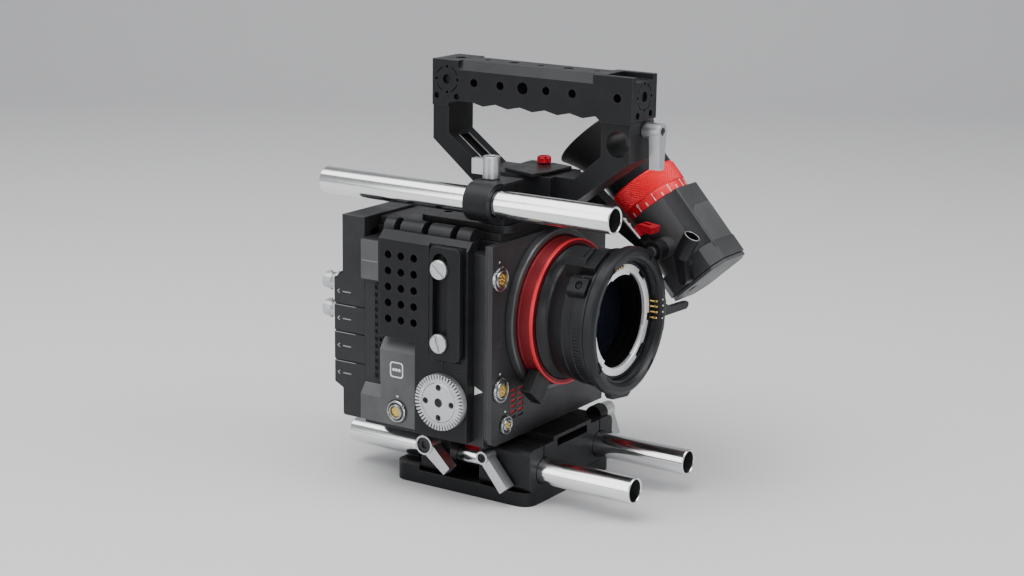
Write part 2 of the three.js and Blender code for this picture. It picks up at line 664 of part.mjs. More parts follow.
function octagon(half, [front, rear], c) {
  return polygon([
    [c - half, front], [half - c, front], [half, front + c], [half, rear - c], [half - c, rear],
    [c - half, rear], [-half, rear - c], [-half, front + c],
  ]);
}

// Round barrel, raised spine along its front, eight-sided screen end, hinge boss and pin.
function finderHousing() {
  const hinge = hingeInFinder();
  const inner = ARM[1] + GAP - EYE_POINT.x;
  const barrel = pin('z', 20.7, -50, -9.3, CENTRE, 16);
  const spine = block([-12.8, 11.5], [-22.8, 0], [-50, -10]);
  const end = prism('z', octagon(19, [-22.8, 21], 7), -57.5, -46);
  const boss = pin('x', 6, inner, -15, hinge, 10);
  const pivot = pin('x', 3.2, ARM[0] - 2 - EYE_POINT.x, inner + 1, hinge, 8);
  const groove = block([-14, 14], [-25, -21.9], [-20.6, -19.2]);
  const bore = pin('z', 15.5, -55, -9, CENTRE, 10);
  return cut(joined([barrel, spine, end, boss, pivot]), [groove, bore]);
}

function finderEndCover() {
  const plate = prism('z', octagon(18.4, [-22.2, 20.4], 7), -60, -57.8);
  return plate.subtract(block([-13, -8], [4, 10], [-61, -59]));
}

function finderDisplay() {
  return block([-11, 11], [-8, 8], [-54.5, -52]);
}

// Inner sleeve that the focusing ring turns on, with the tail that the eyecup slips over.
function finderBarrel() {
  return turned('z', [
    [14.6, -8.6], [17.9, -8.6], [17.9, 9.3], [20.3, 9.3], [20.3, 17.7], [17, 17.7], [17, 27], [14.6, 27],
  ], CENTRE, 24);
}

function diopterRing() {
  return turned('z', [
    [18.3, -9], [20.6, -9], [20.6, -3.7], [21.2, -3.3], [21.2, 8.6], [20.8, 9], [18.3, 9],
  ], CENTRE, 24);
}

function eyeLens() {
  return turned('z', [[0, 19], [14.3, 19], [14.3, 21], [9, 22.7], [0, 23.3]], CENTRE, 20);
}

function eyecup() {
  return turned('z', [
    [17.4, 18], [20.4, 18], [22, 25], [24.6, 33], [28.2, 40], [32, 46], [30.4, 46.6], [26.2, 40.8],
    [22.5, 34], [20, 27.5], [17.4, 27],
  ], CENTRE, 20);
}

// ---- Rods and base -----------------------------------------------------------------------------

const RELEASE = [1.5, 30.7];
const RELEASE_PIN = 2.5;
const LEFT_LEVER = [-38, 33];
const BASE = { half: 44, front: [-46, -12], rear: [8, 28], y: [-46, 47], bottom: 8.3 };

function baseBlock() {
  const { half, front, rear, y, bottom } = BASE;
  const spine = block([-20, 20], y, [bottom, BASE_TOP]);
  const tower = rounded([-half, half], [bottom, 33], 4);
  const towers = [front, rear].map(([from, to]) => prism('y', tower, from, to, 3));
  const tools = [];
  for (const side of [-1, 1]) {
    const x = side * ROD.spacing / 2;
    tools.push(pin('y', ROD.r + RUN, y[0] - 1, y[1] + 1, [x, ROD.z], 12));
    tools.push(block([x - 0.6, x + 0.6], [y[0] - 1, y[1] + 1], [ROD.z, 40]));
  }
  tools.push(block([-16, 16], [y[0] - 1, -34], [29, 33.7]));
  tools.push(pin('x', RELEASE_PIN + RUN, -21, -11, RELEASE, 8));
  const boss = pin('x', 5.2, half - 8, half, LEFT_LEVER, 8);
  return cut(joined([spine, ...towers, boss]), tools);
}

// Push block over the near rod, on a stem that slides into the spine.
function quickReleaseButton() {
  const [y, z] = RELEASE;
  const cap = block([-38, -24], [y - 4.5, y + 4.5], [z - 3.2, z + 3.4]);
  return cap.add(pin('x', RELEASE_PIN, -25, -15, RELEASE, 8));
}

function basePlate() {
  const outline = rounded([-45, 45], BASE.y, 8);
  const plate = prism('z', outline, 0, 8, 4);
  const step = prism('z', outline, 7, 10.6, 4).intersect(block([-50, 50], [29, 50], [0, 20]));
  const channel = block([-20.6, 20.6], [20, 50], [8, 12]);
  const holes = [-20, 20].map((y) => pin('z', 3, -1, 5, [0, y], 8));
  return cut(plate.add(step), [channel, ...holes]);
}

// Levers on the sides of the base that tighten the rod clamps, as [y, z] hubs with hanging arms.
function baseLever(side, [y, z], hub, bore, reach, angle) {
  const lever = clampLever({ hub, bore, height: 9.5, arm: [1, 8.5], reach, root: hub * 1.5, tip: 6 });
  const hung = lever.rotate([0, 0, angle]).rotate([0, side * 90, 0]);
  return hung.translate([side * (BASE.half + GAP), y, z]);
}

// ---- The rig -----------------------------------------------------------------------------------

const rig = new THREE.Group();
const finder = new THREE.Group();
finder.position.copy(EYE_POINT);
finder.rotation.x = EYE_TILT;
rig.add(finder);

rig.add(
  part('body_shell', bodyShell(), CHARCOAL),
  part('front_plate', frontPlate(), CHARCOAL),
  ...SOCKETS.map((socket) => part(socket.name, frontSocket(socket), GOLD)),
  part('right_side_plate', rightSidePlate(), BLACK),
  part('slotted_rail', slottedRail(), BLACK),
  part('rail_screw_upper', railScrew(RAIL_SCREW_Z[0], 40), STEEL),
  part('rail_screw_lower', railScrew(RAIL_SCREW_Z[1], 72), STEEL),
  part('rosette', rosette(), STEEL),
  part('power_panel', powerPanel(), GREY),
  part('dc_socket', dcSocket(), STEEL),
  part('left_side_plate', leftSidePlate(), BLACK),
  part('record_button', recordButton(), RED),
  part('media_card', mediaCard(), BLACK),
  part('media_door', mediaDoor(), CHARCOAL),
  part('top_cover', topCover(), CHARCOAL),
  part('back_module', backModule(), CHARCOAL),
  part('battery_plate', batteryPlate(), BLACK),
  part('battery_latch', batteryLatch(), RED),
  part('bnc_upper', bnc(113.5), STEEL),
  part('bnc_lower', bnc(97.2), STEEL),
  part('image_sensor', imageSensor(), BOARD),
  part('heat_sink', heatSink(), STEEL),
  part('cooling_fan', coolingFan(), BLACK),
  part('main_board', mainBoard(), BOARD),
  part('mount_base_ring', mountBaseRing(), GREY),
  part('mount_locking_ring', mountLockingRing(), RED),
  part('mount_adapter', mountAdapter(), BLACK),
  part('lens_lock_ring', lensLockRing(), BLACK),
  part('lens_flange', lensFlange(), CHROME),
  part('sensor_glass', sensorGlass(), GLASS),
  part('top_plate', topPlate(), BLACK),
  part('rod_clamp', rodClamp(), BLACK),
  part('rod_clamp_lever', rodClampLever(), STEEL),
  part('top_rod', rodTube(TOP_ROD.x, TOP_ROD.z, TOP_ROD.front), CHROME),
  part('top_handle', topHandle(), BLACK),
  part('handle_top_cover', handleTopCover(), CHARCOAL),
  part('handle_port_cover', handlePortCover(), BLACK),
  part('handle_thumbscrew', handleThumbscrew(), RED),
  part('handle_lever', handleLever(), STEEL),
  part('finder_cross_rod', finderCrossRod(), STEEL),
  part('finder_arm', finderArm(), BLACK),
  part('finder_lock_lever', finderLockLever(), RED),
  part('finder_tilt_lever', finderTiltLever(), BLACK),
  part('base_block', baseBlock(), BLACK),
  part('base_lever_front', baseLever(-1, [-20, 27], 3.8, 2.7, 22, -140), STEEL),
  part('base_lever_rear', baseLever(-1, [19.5, 27], 5.7, 4.7, 20, -131), STEEL),
  part('base_lever_left', baseLever(1, LEFT_LEVER, 4.4, 2.6, 16, -22), STEEL),
  part('quick_release_button', quickReleaseButton(), RED),
  part('base_plate', basePlate(), BLACK),
  part('lower_rod_right', rodTube(-ROD.spacing / 2, ROD.z, ROD.front), CHROME),
  part('lower_rod_left', rodTube(ROD.spacing / 2, ROD.z, ROD.front), CHROME),
);
finder.add(
  part('finder_housing', finderHousing(), GREY),
  part('finder_end_cover', finderEndCover(), GREY),
  part('finder_display', finderDisplay(), GLASS),
  part('finder_barrel', finderBarrel(), BLACK),
  part('diopter_ring', diopterRing(), RED),
  part('eye_lens', eyeLens(), GLASS),
  part('eyecup', eyecup(), RUBBER),
);

export default rig;
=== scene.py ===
import json
import math

import bmesh
import bpy
from mathutils import Matrix, Vector

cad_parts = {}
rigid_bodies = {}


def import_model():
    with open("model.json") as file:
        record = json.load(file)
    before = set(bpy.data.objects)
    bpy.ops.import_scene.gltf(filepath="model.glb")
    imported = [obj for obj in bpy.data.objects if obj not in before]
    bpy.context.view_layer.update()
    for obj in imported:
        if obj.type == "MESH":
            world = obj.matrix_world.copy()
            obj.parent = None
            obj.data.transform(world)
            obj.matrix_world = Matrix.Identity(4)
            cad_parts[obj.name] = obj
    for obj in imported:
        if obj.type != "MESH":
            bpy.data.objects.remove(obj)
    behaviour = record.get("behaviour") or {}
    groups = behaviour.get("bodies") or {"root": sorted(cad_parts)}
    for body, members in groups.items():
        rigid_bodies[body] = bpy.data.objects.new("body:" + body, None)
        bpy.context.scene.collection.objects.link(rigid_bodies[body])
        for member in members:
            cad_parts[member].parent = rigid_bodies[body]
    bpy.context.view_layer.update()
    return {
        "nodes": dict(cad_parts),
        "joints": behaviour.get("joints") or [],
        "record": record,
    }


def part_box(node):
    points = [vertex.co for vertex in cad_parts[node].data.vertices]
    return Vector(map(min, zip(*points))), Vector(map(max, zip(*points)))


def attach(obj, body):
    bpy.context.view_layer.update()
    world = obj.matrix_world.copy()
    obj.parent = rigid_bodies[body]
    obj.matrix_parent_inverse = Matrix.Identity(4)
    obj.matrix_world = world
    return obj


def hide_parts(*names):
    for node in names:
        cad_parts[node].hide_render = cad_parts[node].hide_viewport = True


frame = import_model()

MM = 0.001
RECORD = frame["record"]
JOINTS = {joint["name"]: joint for joint in frame["joints"]}
BODY_OF = {node: body for body, members in RECORD["behaviour"]["bodies"].items() for node in members}
SLOT_OF = {row["node"]: row["material_slot"] for row in RECORD["subparts"]}
TURN = {
    "x": Matrix(((0, 0, 1), (1, 0, 0), (0, 1, 0))).to_4x4(),
    "y": Matrix(((1, 0, 0), (0, 0, 1), (0, 1, 0))).to_4x4(),
    "z": Matrix.Identity(4),
}
CAMERA_PLACE = (-0.9504, -0.6280, 0.3903)
CAMERA_ANGLES = (-56.69, 13.79, 0.78)
FOCAL_LENGTH = 72.2
BACKDROP_TURN = -57
WELD_DISTANCE = 2e-6
FLAT_ANGLE = math.radians(0.4)
SCREW_WELL = 1.95
ROD_BORE = 7.95
INK_UNDER, INK_OVER = 0.06, 0.05
TAB_TURN, LUG_TURN, RELEASE_TURN = 129, -143, -117
LEVER_LEAN = math.radians(28)


# ---- Camera, floor and light ---------------------------------------------------------------------

def make_camera():
    """Looks at the operator's right side and the lens from a little above."""
    azimuth, elevation, roll = (math.radians(angle) for angle in CAMERA_ANGLES)
    back = Vector((
        math.sin(azimuth) * math.cos(elevation),
        -math.cos(azimuth) * math.cos(elevation),
        math.sin(elevation),
    ))
    right = Vector((math.cos(azimuth), math.sin(azimuth), 0))
    up = back.cross(right)
    turned_right = math.cos(roll) * right + math.sin(roll) * up
    turned_up = math.cos(roll) * up - math.sin(roll) * right
    data = bpy.data.cameras.new("camera")
    data.lens = FOCAL_LENGTH
    data.sensor_width = 36
    camera = bpy.data.objects.new("camera", data)
    axes = Matrix((turned_right, turned_up, back)).transposed().to_4x4()
    camera.matrix_world = Matrix.Translation(CAMERA_PLACE) @ axes
    bpy.context.scene.collection.objects.link(camera)
    bpy.context.scene.camera = camera


def make_floor():
    mesh = bpy.data.meshes.new("floor")
    half, back, top, bend = 4.0, 2.2, 3.0, 0.8
    profile = [(-half, 0.0), (back - bend, 0.0)]
    profile += [
        (back - bend + bend * math.sin(a), bend - bend * math.cos(a))
        for a in [math.radians(6 * i) for i in range(1, 16)]
    ]
    profile.append((back, top))
    verts = [(x, y, z) for y, z in profile for x in (-half * 1.5, half * 1.5)]
    faces = [(2 * i, 2 * i + 1, 2 * i + 3, 2 * i + 2) for i in range(len(profile) - 1)]
    mesh.from_pydata(verts, [], faces)
    floor = bpy.data.objects.new("floor", mesh)
    for face in mesh.polygons:
        face.use_smooth = True
    floor.rotation_euler.z = math.radians(BACKDROP_TURN)
    bpy.context.scene.collection.objects.link(floor)
    material = bpy.data.materials.new("floor_paper")
    material.use_nodes = True
    shader = material.node_tree.nodes["Principled BSDF"]
    shader.inputs["Base Color"].default_value = (0.62, 0.62, 0.63, 1)
    shader.inputs["Roughness"].default_value = 0.85
    shader.inputs["Specular IOR Level"].default_value = 0.2
    mesh.materials.append(material)


def area_light(name, place, aim, size, watts, colour=(1, 1, 1)):
    data = bpy.data.lights.new(name, "AREA")
    data.shape = "RECTANGLE"
    data.size, data.size_y = size
    data.energy = watts
    data.color = colour
    light = bpy.data.objects.new(name, data)
    light.location = place
    light.rotation_euler = (Vector(aim) - Vector(place)).to_track_quat("-Z", "Y").to_euler()
    bpy.context.scene.collection.objects.link(light)


def make_lights():
    aim = (0, 0, 0.12)
    area_light("overhead", (-0.35, 0.1, 1.4), aim, (2.0, 1.5), 29)
    area_light("overhead_core", (-0.4, 0.1, 1.37), aim, (0.6, 1.3), 7.5)
    area_light("left_strip", (-1.35, 0.75, 0.7), aim, (0.4, 1.3), 5.5)
    area_light("front_strip", (0.45, -1.5, 1.25), aim, (1.2, 0.5), 17)
    area_light("low_card", (-1.2, -1.1, 0.25), aim, (0.9, 0.35), 4.5)
    world = bpy.data.worlds.new("studio")
    world.use_nodes = True
    world.node_tree.nodes["Background"].inputs["Color"].default_value = (0.85, 0.87, 0.9, 1)
    world.node_tree.nodes["Background"].inputs["Strength"].default_value = 0.34
    bpy.context.scene.world = world


# ---- Materials -----------------------------------------------------------------------------------

class Nodes:
    """Small builder for one material's node tree, with its texture in object coordinates."""

    def __init__(self, name):
        self.material = bpy.data.materials.new(name)
        self.material.use_nodes = True
        self.tree = self.material.node_tree
        self.shader = self.tree.nodes["Principled BSDF"]
        self.place = self.tree.nodes.new("ShaderNodeTexCoord").outputs["Object"]

    def add(self, kind, inputs=(), **settings):
        node = self.tree.nodes.new(kind)
        for key, value in settings.items():
            setattr(node, key, value)
        for key, value in dict(inputs).items():
            if isinstance(value, bpy.types.NodeSocket):
                self.tree.links.new(value, node.inputs[key])
            else:
                node.inputs[key].default_value = value
        return node

    def stretched(self, scale):
        return self.add("ShaderNodeMapping", {"Vector": self.place, "Scale": scale}).outputs["Vector"]

    def noise(self, scale, detail=3.0, vector=None):
        inputs = {"Vector": vector or self.place, "Scale": scale, "Detail": detail, "Roughness": 0.6}
        return self.add("ShaderNodeTexNoise", inputs).outputs["Fac"]

    def span(self, value, low, high, near=0.3, far=0.7):
        inputs = {"Value": value, "From Min": near, "From Max": far, "To Min": low, "To Max": high}
        return self.add("ShaderNodeMapRange", inputs).outputs["Result"]

    def mix(self, share, first, second):
        inputs = {"Factor": share, 6: first, 7: second}
        return self.add("ShaderNodeMix", inputs, data_type="RGBA").outputs[2]

    def edge(self, radius, near=0.02, far=0.3):
        """1 along sharp edges, 0 on flat faces."""
        smooth = self.add("ShaderNodeBevel", {"Radius": radius}, samples=4).outputs["Normal"]
        flat = self.add("ShaderNodeNewGeometry").outputs["Normal"]
        inputs = {0: smooth, 1: flat}
        along = self.add("ShaderNodeVectorMath", inputs, operation="DOT_PRODUCT").outputs["Value"]
        inverse = self.add("ShaderNodeMath", {0: 1.0, 1: along}, operation="SUBTRACT").outputs["Value"]
        return self.span(inverse, 0.0, 1.0, near, far)

    def bump(self, height, strength, depth):
        inputs = {"Height": height, "Strength": strength, "Distance": depth}
        return self.add("ShaderNodeBump", inputs).outputs["Normal"]

    def finish(self, colour=None, roughness=None, normal=None, **fixed):
        for key, value in (("Base Color", colour), ("Roughness", roughness), ("Normal", normal)):
            if isinstance(value, bpy.types.NodeSocket):
                self.tree.links.new(value, self.shader.inputs[key])
            elif value is not None:
                self.shader.inputs[key].default_value = value
        for key, value in fixed.items():
            self.shader.inputs[key.replace("_", " ")].default_value = value
        return self.material


def rgba(colour, gain=1.0):
    return tuple(min(1.0, channel * gain) for channel in colour) + (1.0,)


def coated_metal(name, colour, roughness, edge_highlight_gain=2.4, grain=0.25, metallic=0.35, gloss=0.5):
    """Anodised or coated metal: cloudy tone, fine blasted grain and painted highlights along its edges.
    """
    n = Nodes(name)
    cloud = n.noise(38, 5.0)
    tone = n.mix(n.span(cloud, 0.0, 1.0), rgba(colour, 0.82), rgba(colour, 1.2))
    # painted highlight: lighter colour along sharp edges, broken up by noise, stands in for light caught
    # by the edges
    inputs = {0: n.edge(0.0007, 0.01, 0.2), 1: n.span(n.noise(240, 4.0), 0.35, 1.0)}
    painted_edge_highlight = n.add("ShaderNodeMath", inputs, operation="MULTIPLY").outputs["Value"]
    tone = n.mix(painted_edge_highlight, tone, rgba(colour, edge_highlight_gain))
    fine = n.noise(2600, 2.0)
    rough = n.span(n.noise(90, 4.0), roughness - 0.05, roughness + 0.08)
    normal = n.bump(fine, grain, 0.00006)
    return n.finish(tone, rough, normal, Metallic=metallic, Specular_IOR_Level=gloss)


def bright_metal(name, colour, roughness, along, grain=0.12):
    """Machined or polished metal with fine lines along one direction."""
    n = Nodes(name)
    lines = n.noise(1.0, 3.0, n.stretched(along))
    cloud = n.noise(60, 4.0)
    tone = n.mix(n.span(cloud, 0.0, 1.0), rgba(colour, 0.94), rgba(colour, 1.04))
    mixed = n.add("ShaderNodeMath", {0: lines, 1: cloud}, operation="ADD").outputs["Value"]
    rough = n.span(mixed, roughness * 0.92, roughness * 1.12, 0.7, 1.3)
    normal = n.bump(lines, grain, 0.00003)
    return n.finish(tone, rough, normal, Metallic=1.0)


def ringed_metal(name, colour, roughness, metallic=1.0):
    """Lathe-turned metal: fine rings about the lens axis and a little painted highlight along sharp
    edges.
    """
    n = Nodes(name)
    lines = n.noise(1.0, 2.0, n.stretched((30, 5200, 30)))
    cloud = n.noise(45, 4.0)
    tone = n.mix(n.span(cloud, 0.0, 1.0), rgba(colour, 0.85), rgba(colour, 1.15))
    # painted highlight: lighter colour along sharp edges
    tone = n.mix(n.edge(0.0004), tone, rgba(colour, 1.7))
    rough = n.span(lines, roughness - 0.05, roughness + 0.1)
    return n.finish(tone, rough, n.bump(lines, 0.2, 0.00005), Metallic=metallic)


def moulded(name, colour, roughness, grain, depth, scale=900):
    """Moulded plastic or rubber with a pebbled skin."""
    n = Nodes(name)
    inputs = {"Vector": n.place, "Scale": scale, "Randomness": 0.9}
    cells = n.add("ShaderNodeTexVoronoi", inputs, feature="SMOOTH_F1").outputs["Distance"]
    tone = n.mix(n.span(n.noise(70, 4.0), 0.0, 1.0), rgba(colour, 0.8), rgba(colour, 1.25))
    rough = n.span(n.noise(320, 3.0), roughness - 0.07, roughness + 0.07)
    return n.finish(tone, rough, n.bump(cells, grain, depth))


def coated_glass(name, colour, coat_tint):
    """Dark glass with a faint coloured coating and a little dust in its roughness."""
    n = Nodes(name)
    tone = n.mix(n.span(n.noise(30, 2.0), 0.0, 1.0), rgba(colour, 0.7), rgba(colour, 1.4))
    rough = n.span(n.noise(500, 6.0), 0.02, 0.07, 0.45, 0.8)
    return n.finish(tone, rough, None, Coat_Weight=0.8, Coat_Roughness=0.03, Coat_Tint=coat_tint,
                    Specular_IOR_Level=0.6)


def board_material(name, colour):
    """Solder mask over copper tracks."""
    n = Nodes(name)
    inputs = {"Vector": n.place, "Scale": 220, "Randomness": 0.2}
    tracks = n.add("ShaderNodeTexVoronoi", inputs, feature="DISTANCE_TO_EDGE").outputs["Distance"]
    tone = n.mix(n.span(tracks, 0.0, 1.0, 0.02, 0.08), rgba(colour, 2.2), rgba(colour))
    return n.finish(tone, n.span(n.noise(200), 0.35, 0.5), n.bump(tracks, 0.2, 0.0001))


def paint(name, colour):
    """Screen-printed marking ink."""
    n = Nodes(name)
    tone = n.mix(n.span(n.noise(700, 4.0), 0.0, 1.0), rgba(colour, 0.85), rgba(colour))
    return n.finish(tone, n.span(n.noise(300), 0.45, 0.6), None)


MATERIALS = {
    "body_black": coated_metal("black_anodised", (0.0115, 0.0118, 0.013), 0.4, 5.5, gloss=0.34),
    "body_charcoal": coated_metal("charcoal_coating", (0.024, 0.0243, 0.026), 0.46, 4.0, 0.4, 0.25, 0.36),
    "panel_grey": coated_metal("grey_coating", (0.085, 0.087, 0.09), 0.48, 1.7, 0.35, 0.25),
    "steel": bright_metal("blasted_steel", (0.6, 0.605, 0.615), 0.4, (2400, 2400, 2400), 0.25),
    "chrome": bright_metal("polished_chrome", (0.88, 0.885, 0.89), 0.15, (1500, 14, 1500), 0.04),
    "red_metal": coated_metal("red_anodised", (0.62, 0.012, 0.03), 0.3, 1.3, 0.15, 0.5),
    "gold_contacts": bright_metal("gold_plate", (0.86, 0.62, 0.2), 0.24, (700, 700, 700)),
    "dark_glass": coated_glass("coated_glass", (0.008, 0.009, 0.013), (0.75, 0.82, 1.0, 1)),
    "black_rubber": moulded("black_rubber", (0.0135, 0.0135, 0.014), 0.66, 0.3, 0.0001),
    "black_plastic": moulded("black_plastic", (0.02, 0.02, 0.0215), 0.5, 0.25, 0.00006, 1400),
    "circuit_board": board_material("solder_mask", (0.02, 0.11, 0.05)),
}
DARK_RED = ringed_metal("dark_red_turned", (0.21, 0.012, 0.018), 0.46, 0.55)
BRIGHT_RED = ringed_metal("bright_red_turned", (0.72, 0.03, 0.045), 0.36, 0.35)
DARK_STEEL = coated_metal("dark_steel", (0.035, 0.036, 0.038), 0.4, 2.0, 0.2, 0.6)
VENT_RED = coated_metal("vent_red", (0.5, 0.012, 0.02), 0.4, 1.2, 0.2, 0.2)
TURNED_BLACK = ringed_metal("black_turned", (0.017, 0.0175, 0.0195), 0.38, 0.5)
TURNED_GREY = ringed_metal("grey_turned", (0.10, 0.102, 0.106), 0.36, 0.7)
FLANGE_STEEL = ringed_metal("flange_steel", (0.83, 0.835, 0.85), 0.3, 0.55)
WHITE_INK = paint("white_ink", (0.82, 0.82, 0.8))
GREY_INK = paint("grey_ink", (0.3, 0.3, 0.31))
FINDER_COAT = coated_metal("finder_coating", (0.05, 0.0505, 0.053), 0.42, 2.6, 0.4, 0.25)
CAP_COAT = coated_metal("cap_coating", (0.072, 0.073, 0.076), 0.44, 1.6, 0.35, 0.25)
FRONT_COAT = coated_metal("front_coating", (0.033, 0.0333, 0.0355), 0.44, 3.4, 0.4, 0.25)
SOCKET_NUT = bright_metal("socket_nut", (0.4, 0.405, 0.415), 0.27, (900, 900, 900), 0.1)
KNURL_RED = coated_metal("knurled_red", (0.80, 0.016, 0.032), 0.3, 1.1, 0.1, 0.3)
LAMP_GREEN = paint("lamp_green", (0.05, 0.5, 0.1))
FLOCK = moulded("flocked_black", (0.0018, 0.0018, 0.002), 0.93, 0.3, 0.00005, 2500)
FLOCK.node_tree.nodes["Principled BSDF"].inputs["Specular IOR Level"].default_value = 0.08


# ---- Mesh building -------------------------------------------------------------------------------

def object_from(name, mesh_data):
    mesh = bpy.data.meshes.new(name)
    mesh_data.to_mesh(mesh)
    mesh_data.free()
    made = bpy.data.objects.new(name, mesh)
    bpy.context.scene.collection.objects.link(made)
    return made


def place_axis(axis, origin):
    """Carries a local frame whose Z runs along axis to origin, both in the row frame (origin in mm)."""
    if isinstance(axis, str):
        turn = TURN[axis]
    else:
        turn = Vector(axis).to_track_quat("Z", "Y").to_matrix().to_4x4()
    return Matrix.Translation(Vector(origin) * MM) @ turn


def placed(made, matrix):
    """Moves a mesh by a matrix and keeps its faces pointing out."""
    made.data.transform(matrix)
    if matrix.determinant() < 0:
        made.data.flip_normals()
    return made


def lofted(name, rings):
    """Closed skin through rings of points (mm), each joined to the next and the last to the first."""
    data = bmesh.new()
    rows = [[data.verts.new([value * MM for value in point]) for point in ring] for ring in rings]
    for first, second in zip(rows, rows[1:] + rows[:1]):
        count = max(len(first), len(second))
        if count == 1:
            continue
        for i in range(count):
            j = (i + 1) % count
            near, far = len(first), len(second)
            corners = first[i % near], first[j % near], second[j % far], second[i % far]
            data.faces.new(list(dict.fromkeys(corners)))
    bmesh.ops.recalc_face_normals(data, faces=data.faces)
    return object_from(name, data)


def turned(name, profile, origin=(0, 0, 0), axis="z", sides=96):
    """Turns a closed outline of (radius, distance) points about an axis through origin."""
    rings = [
        [(u, v, height) for u, v in circle(radius, (0, 0), sides)] if radius else [(0, 0, height)]
        for radius, height in profile
    ]
    return placed(lofted(name, rings), place_axis(axis, origin))


def prism(name, outline, axis, start, end):
    """Extrudes an outline, drawn in (y, z) for x, (x, z) for y and (x, y) for z."""
    data = bmesh.new()
    low = [data.verts.new((u * MM, v * MM, start * MM)) for u, v in outline]
    high = [data.verts.new((u * MM, v * MM, end * MM)) for u, v in outline]
    data.faces.new(low)
    data.faces.new(high)
    count = len(outline)
    for i in range(count):
        j = (i + 1) % count
        data.faces.new((low[i], low[j], high[j], high[i]))
    bmesh.ops.recalc_face_normals(data, faces=data.faces)
    return placed(object_from(name, data), TURN[axis])


def block(name, x, y, z):
    return prism(name, [(x[0], y[0]), (x[1], y[0]), (x[1], y[1]), (x[0], y[1])], "z", z[0], z[1])


def circle(radius, centre=(0, 0), sides=48, start=0.0, sweep=360.0):
    steps = sides if sweep >= 360 else sides + 1
    return [
        (centre[0] + radius * math.cos(math.radians(start + sweep * i / sides)),
         centre[1] + radius * math.sin(math.radians(start + sweep * i / sides)))
        for i in range(steps)
    ]


def rounded(u, v, radius, sides=8):
    points = []
    for cu, cv, start in ((u[1] - radius, v[0] + radius, -90), (u[1] - radius, v[1] - radius, 0),
                          (u[0] + radius, v[1] - radius, 90), (u[0] + radius, v[0] + radius, 180)):
        points += circle(radius, (cu, cv), sides, start, 90)
    return points


def arc_band(inner, outer, centre, start, sweep, sides=24):
    return circle(outer, centre, sides, start, sweep) + circle(inner, centre, sides, start, sweep)[::-1]


def joined(name, parts):
    """One object from several meshes, without a boolean."""
    data = bmesh.new()
    for part in parts:
        data.from_mesh(part.data)
        bpy.data.objects.remove(part)
    return object_from(name, data)


def with_modifiers_applied(made):
    graph = bpy.context.evaluated_depsgraph_get()
    mesh = bpy.data.meshes.new_from_object(made.evaluated_get(graph))
    made.modifiers.clear()
    made.data = mesh
    return made


def carve(made, cutters):
    """Cuts away cutters that don't touch each other."""
    tool = joined("cutter", cutters)
    modifier = made.modifiers.new("cut", "BOOLEAN")
    modifier.operation = "DIFFERENCE"
    modifier.object = tool
    modifier.solver = "EXACT"
    with_modifiers_applied(made)
    bpy.data.objects.remove(tool)
    return made


def spin(made, axis, degrees, centre):
    """Turns a mesh about an axis through centre (mm)."""
    middle = Vector(centre) * MM
    turn = Matrix.Rotation(math.radians(degrees), 4, axis.upper())
    made.data.transform(Matrix.Translation(middle) @ turn @ Matrix.Translation(-middle))
    return made


def soften(made, width=0.3, segments=2, angle=30, tidy=False):
    """Small rounded edges and clean shading."""
    if tidy:
        weld = made.modifiers.new("weld", "WELD")
        weld.merge_threshold = WELD_DISTANCE
        flat = made.modifiers.new("flat", "DECIMATE")
        flat.decimate_type = "DISSOLVE"
        flat.angle_limit = FLAT_ANGLE
    bevel = made.modifiers.new("edges", "BEVEL")
    bevel.width = width * MM
    bevel.segments = segments
    bevel.limit_method = "ANGLE"
    bevel.angle_limit = math.radians(angle)
    bevel.use_clamp_overlap = True
    bevel.miter_outer = "MITER_ARC"
    made.data.shade_smooth()
    normals = made.modifiers.new("normals", "WEIGHTED_NORMAL")
    normals.keep_sharp = False
    normals.weight = 80
    return made


def dress(made, body, slot, material=None):
    made.data.materials.clear()
    made.data.materials.append(material or MATERIALS[slot])
    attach(made, body)
    return made


def stand_for(made, node, material=None):
    """made takes the place of a CAD node, with that node's body and slot."""
    dress(made, BODY_OF[node], SLOT_OF[node], material)
    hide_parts(node)
    return made


def add_on(made, node, slot, material=None):
    """made is a detail that rides with a CAD node's body."""
    return dress(made, BODY_OF[node], slot, material)


def copy_of(node, name):
    """A new object with the node's solid as clean flat faces, ready to be carved."""
    made = bpy.data.objects.new(name, frame["nodes"][node].data.copy())
    bpy.context.scene.collection.objects.link(made)
    data = bmesh.new()
    data.from_mesh(made.data)
    bmesh.ops.remove_doubles(data, verts=data.verts, dist=WELD_DISTANCE)
    bmesh.ops.dissolve_limit(data, angle_limit=FLAT_ANGLE, verts=data.verts, edges=data.edges)
    data.to_mesh(made.data)
    data.free()
    return made


def span_of(node):
    low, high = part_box(node)
    return [(low[i] / MM, high[i] / MM) for i in range(3)]


def middle_of(node, axis):
    """The node's centre line along an axis, as the point that the line passes through."""
    return tuple(0 if letter == axis else sum(ends) / 2 for letter, ends in zip("xyz", span_of(node)))


def point_on(spot, axis):
    """A point in the plane through the origin that axis is square to."""
    rest = list(spot)
    return tuple(0 if letter == axis else rest.pop(0) for letter in "xyz")


def holes(places, radius, sides, axis, start, end):
    return [prism("hole", circle(radius, place, sides), axis, start, end) for place in places]


def offset(profile, radius, seat):
    """A turned outline given from a rim's radius and seat."""
    return [(radius + out, seat + along) for out, along in profile]


def reshaped(node, name, width, cuts=(), material=None, segments=3, angle=28):
    """Stands a carved and rounded copy of a CAD node in its place. Tools in one cut don't touch."""
    made = copy_of(node, name)
    for tools in cuts:
        carve(made, tools)
    return stand_for(soften(made, width, segments, angle), node, material)


def inked(name, node, slot, outlines, axis, face, ink=None):
    """Flat printed marks on a face."""
    marks = [prism("mark", outline, axis, face - INK_UNDER, face + INK_OVER) for outline in outlines]
    add_on(joined(name, marks), node, slot, ink or WHITE_INK)


# ---- Lens mount ----------------------------------------------------------------------------------

LENS = [value / MM for value in JOINTS["mount_ring_turn"]["pos_m"]]
LENS[1] = 0.0


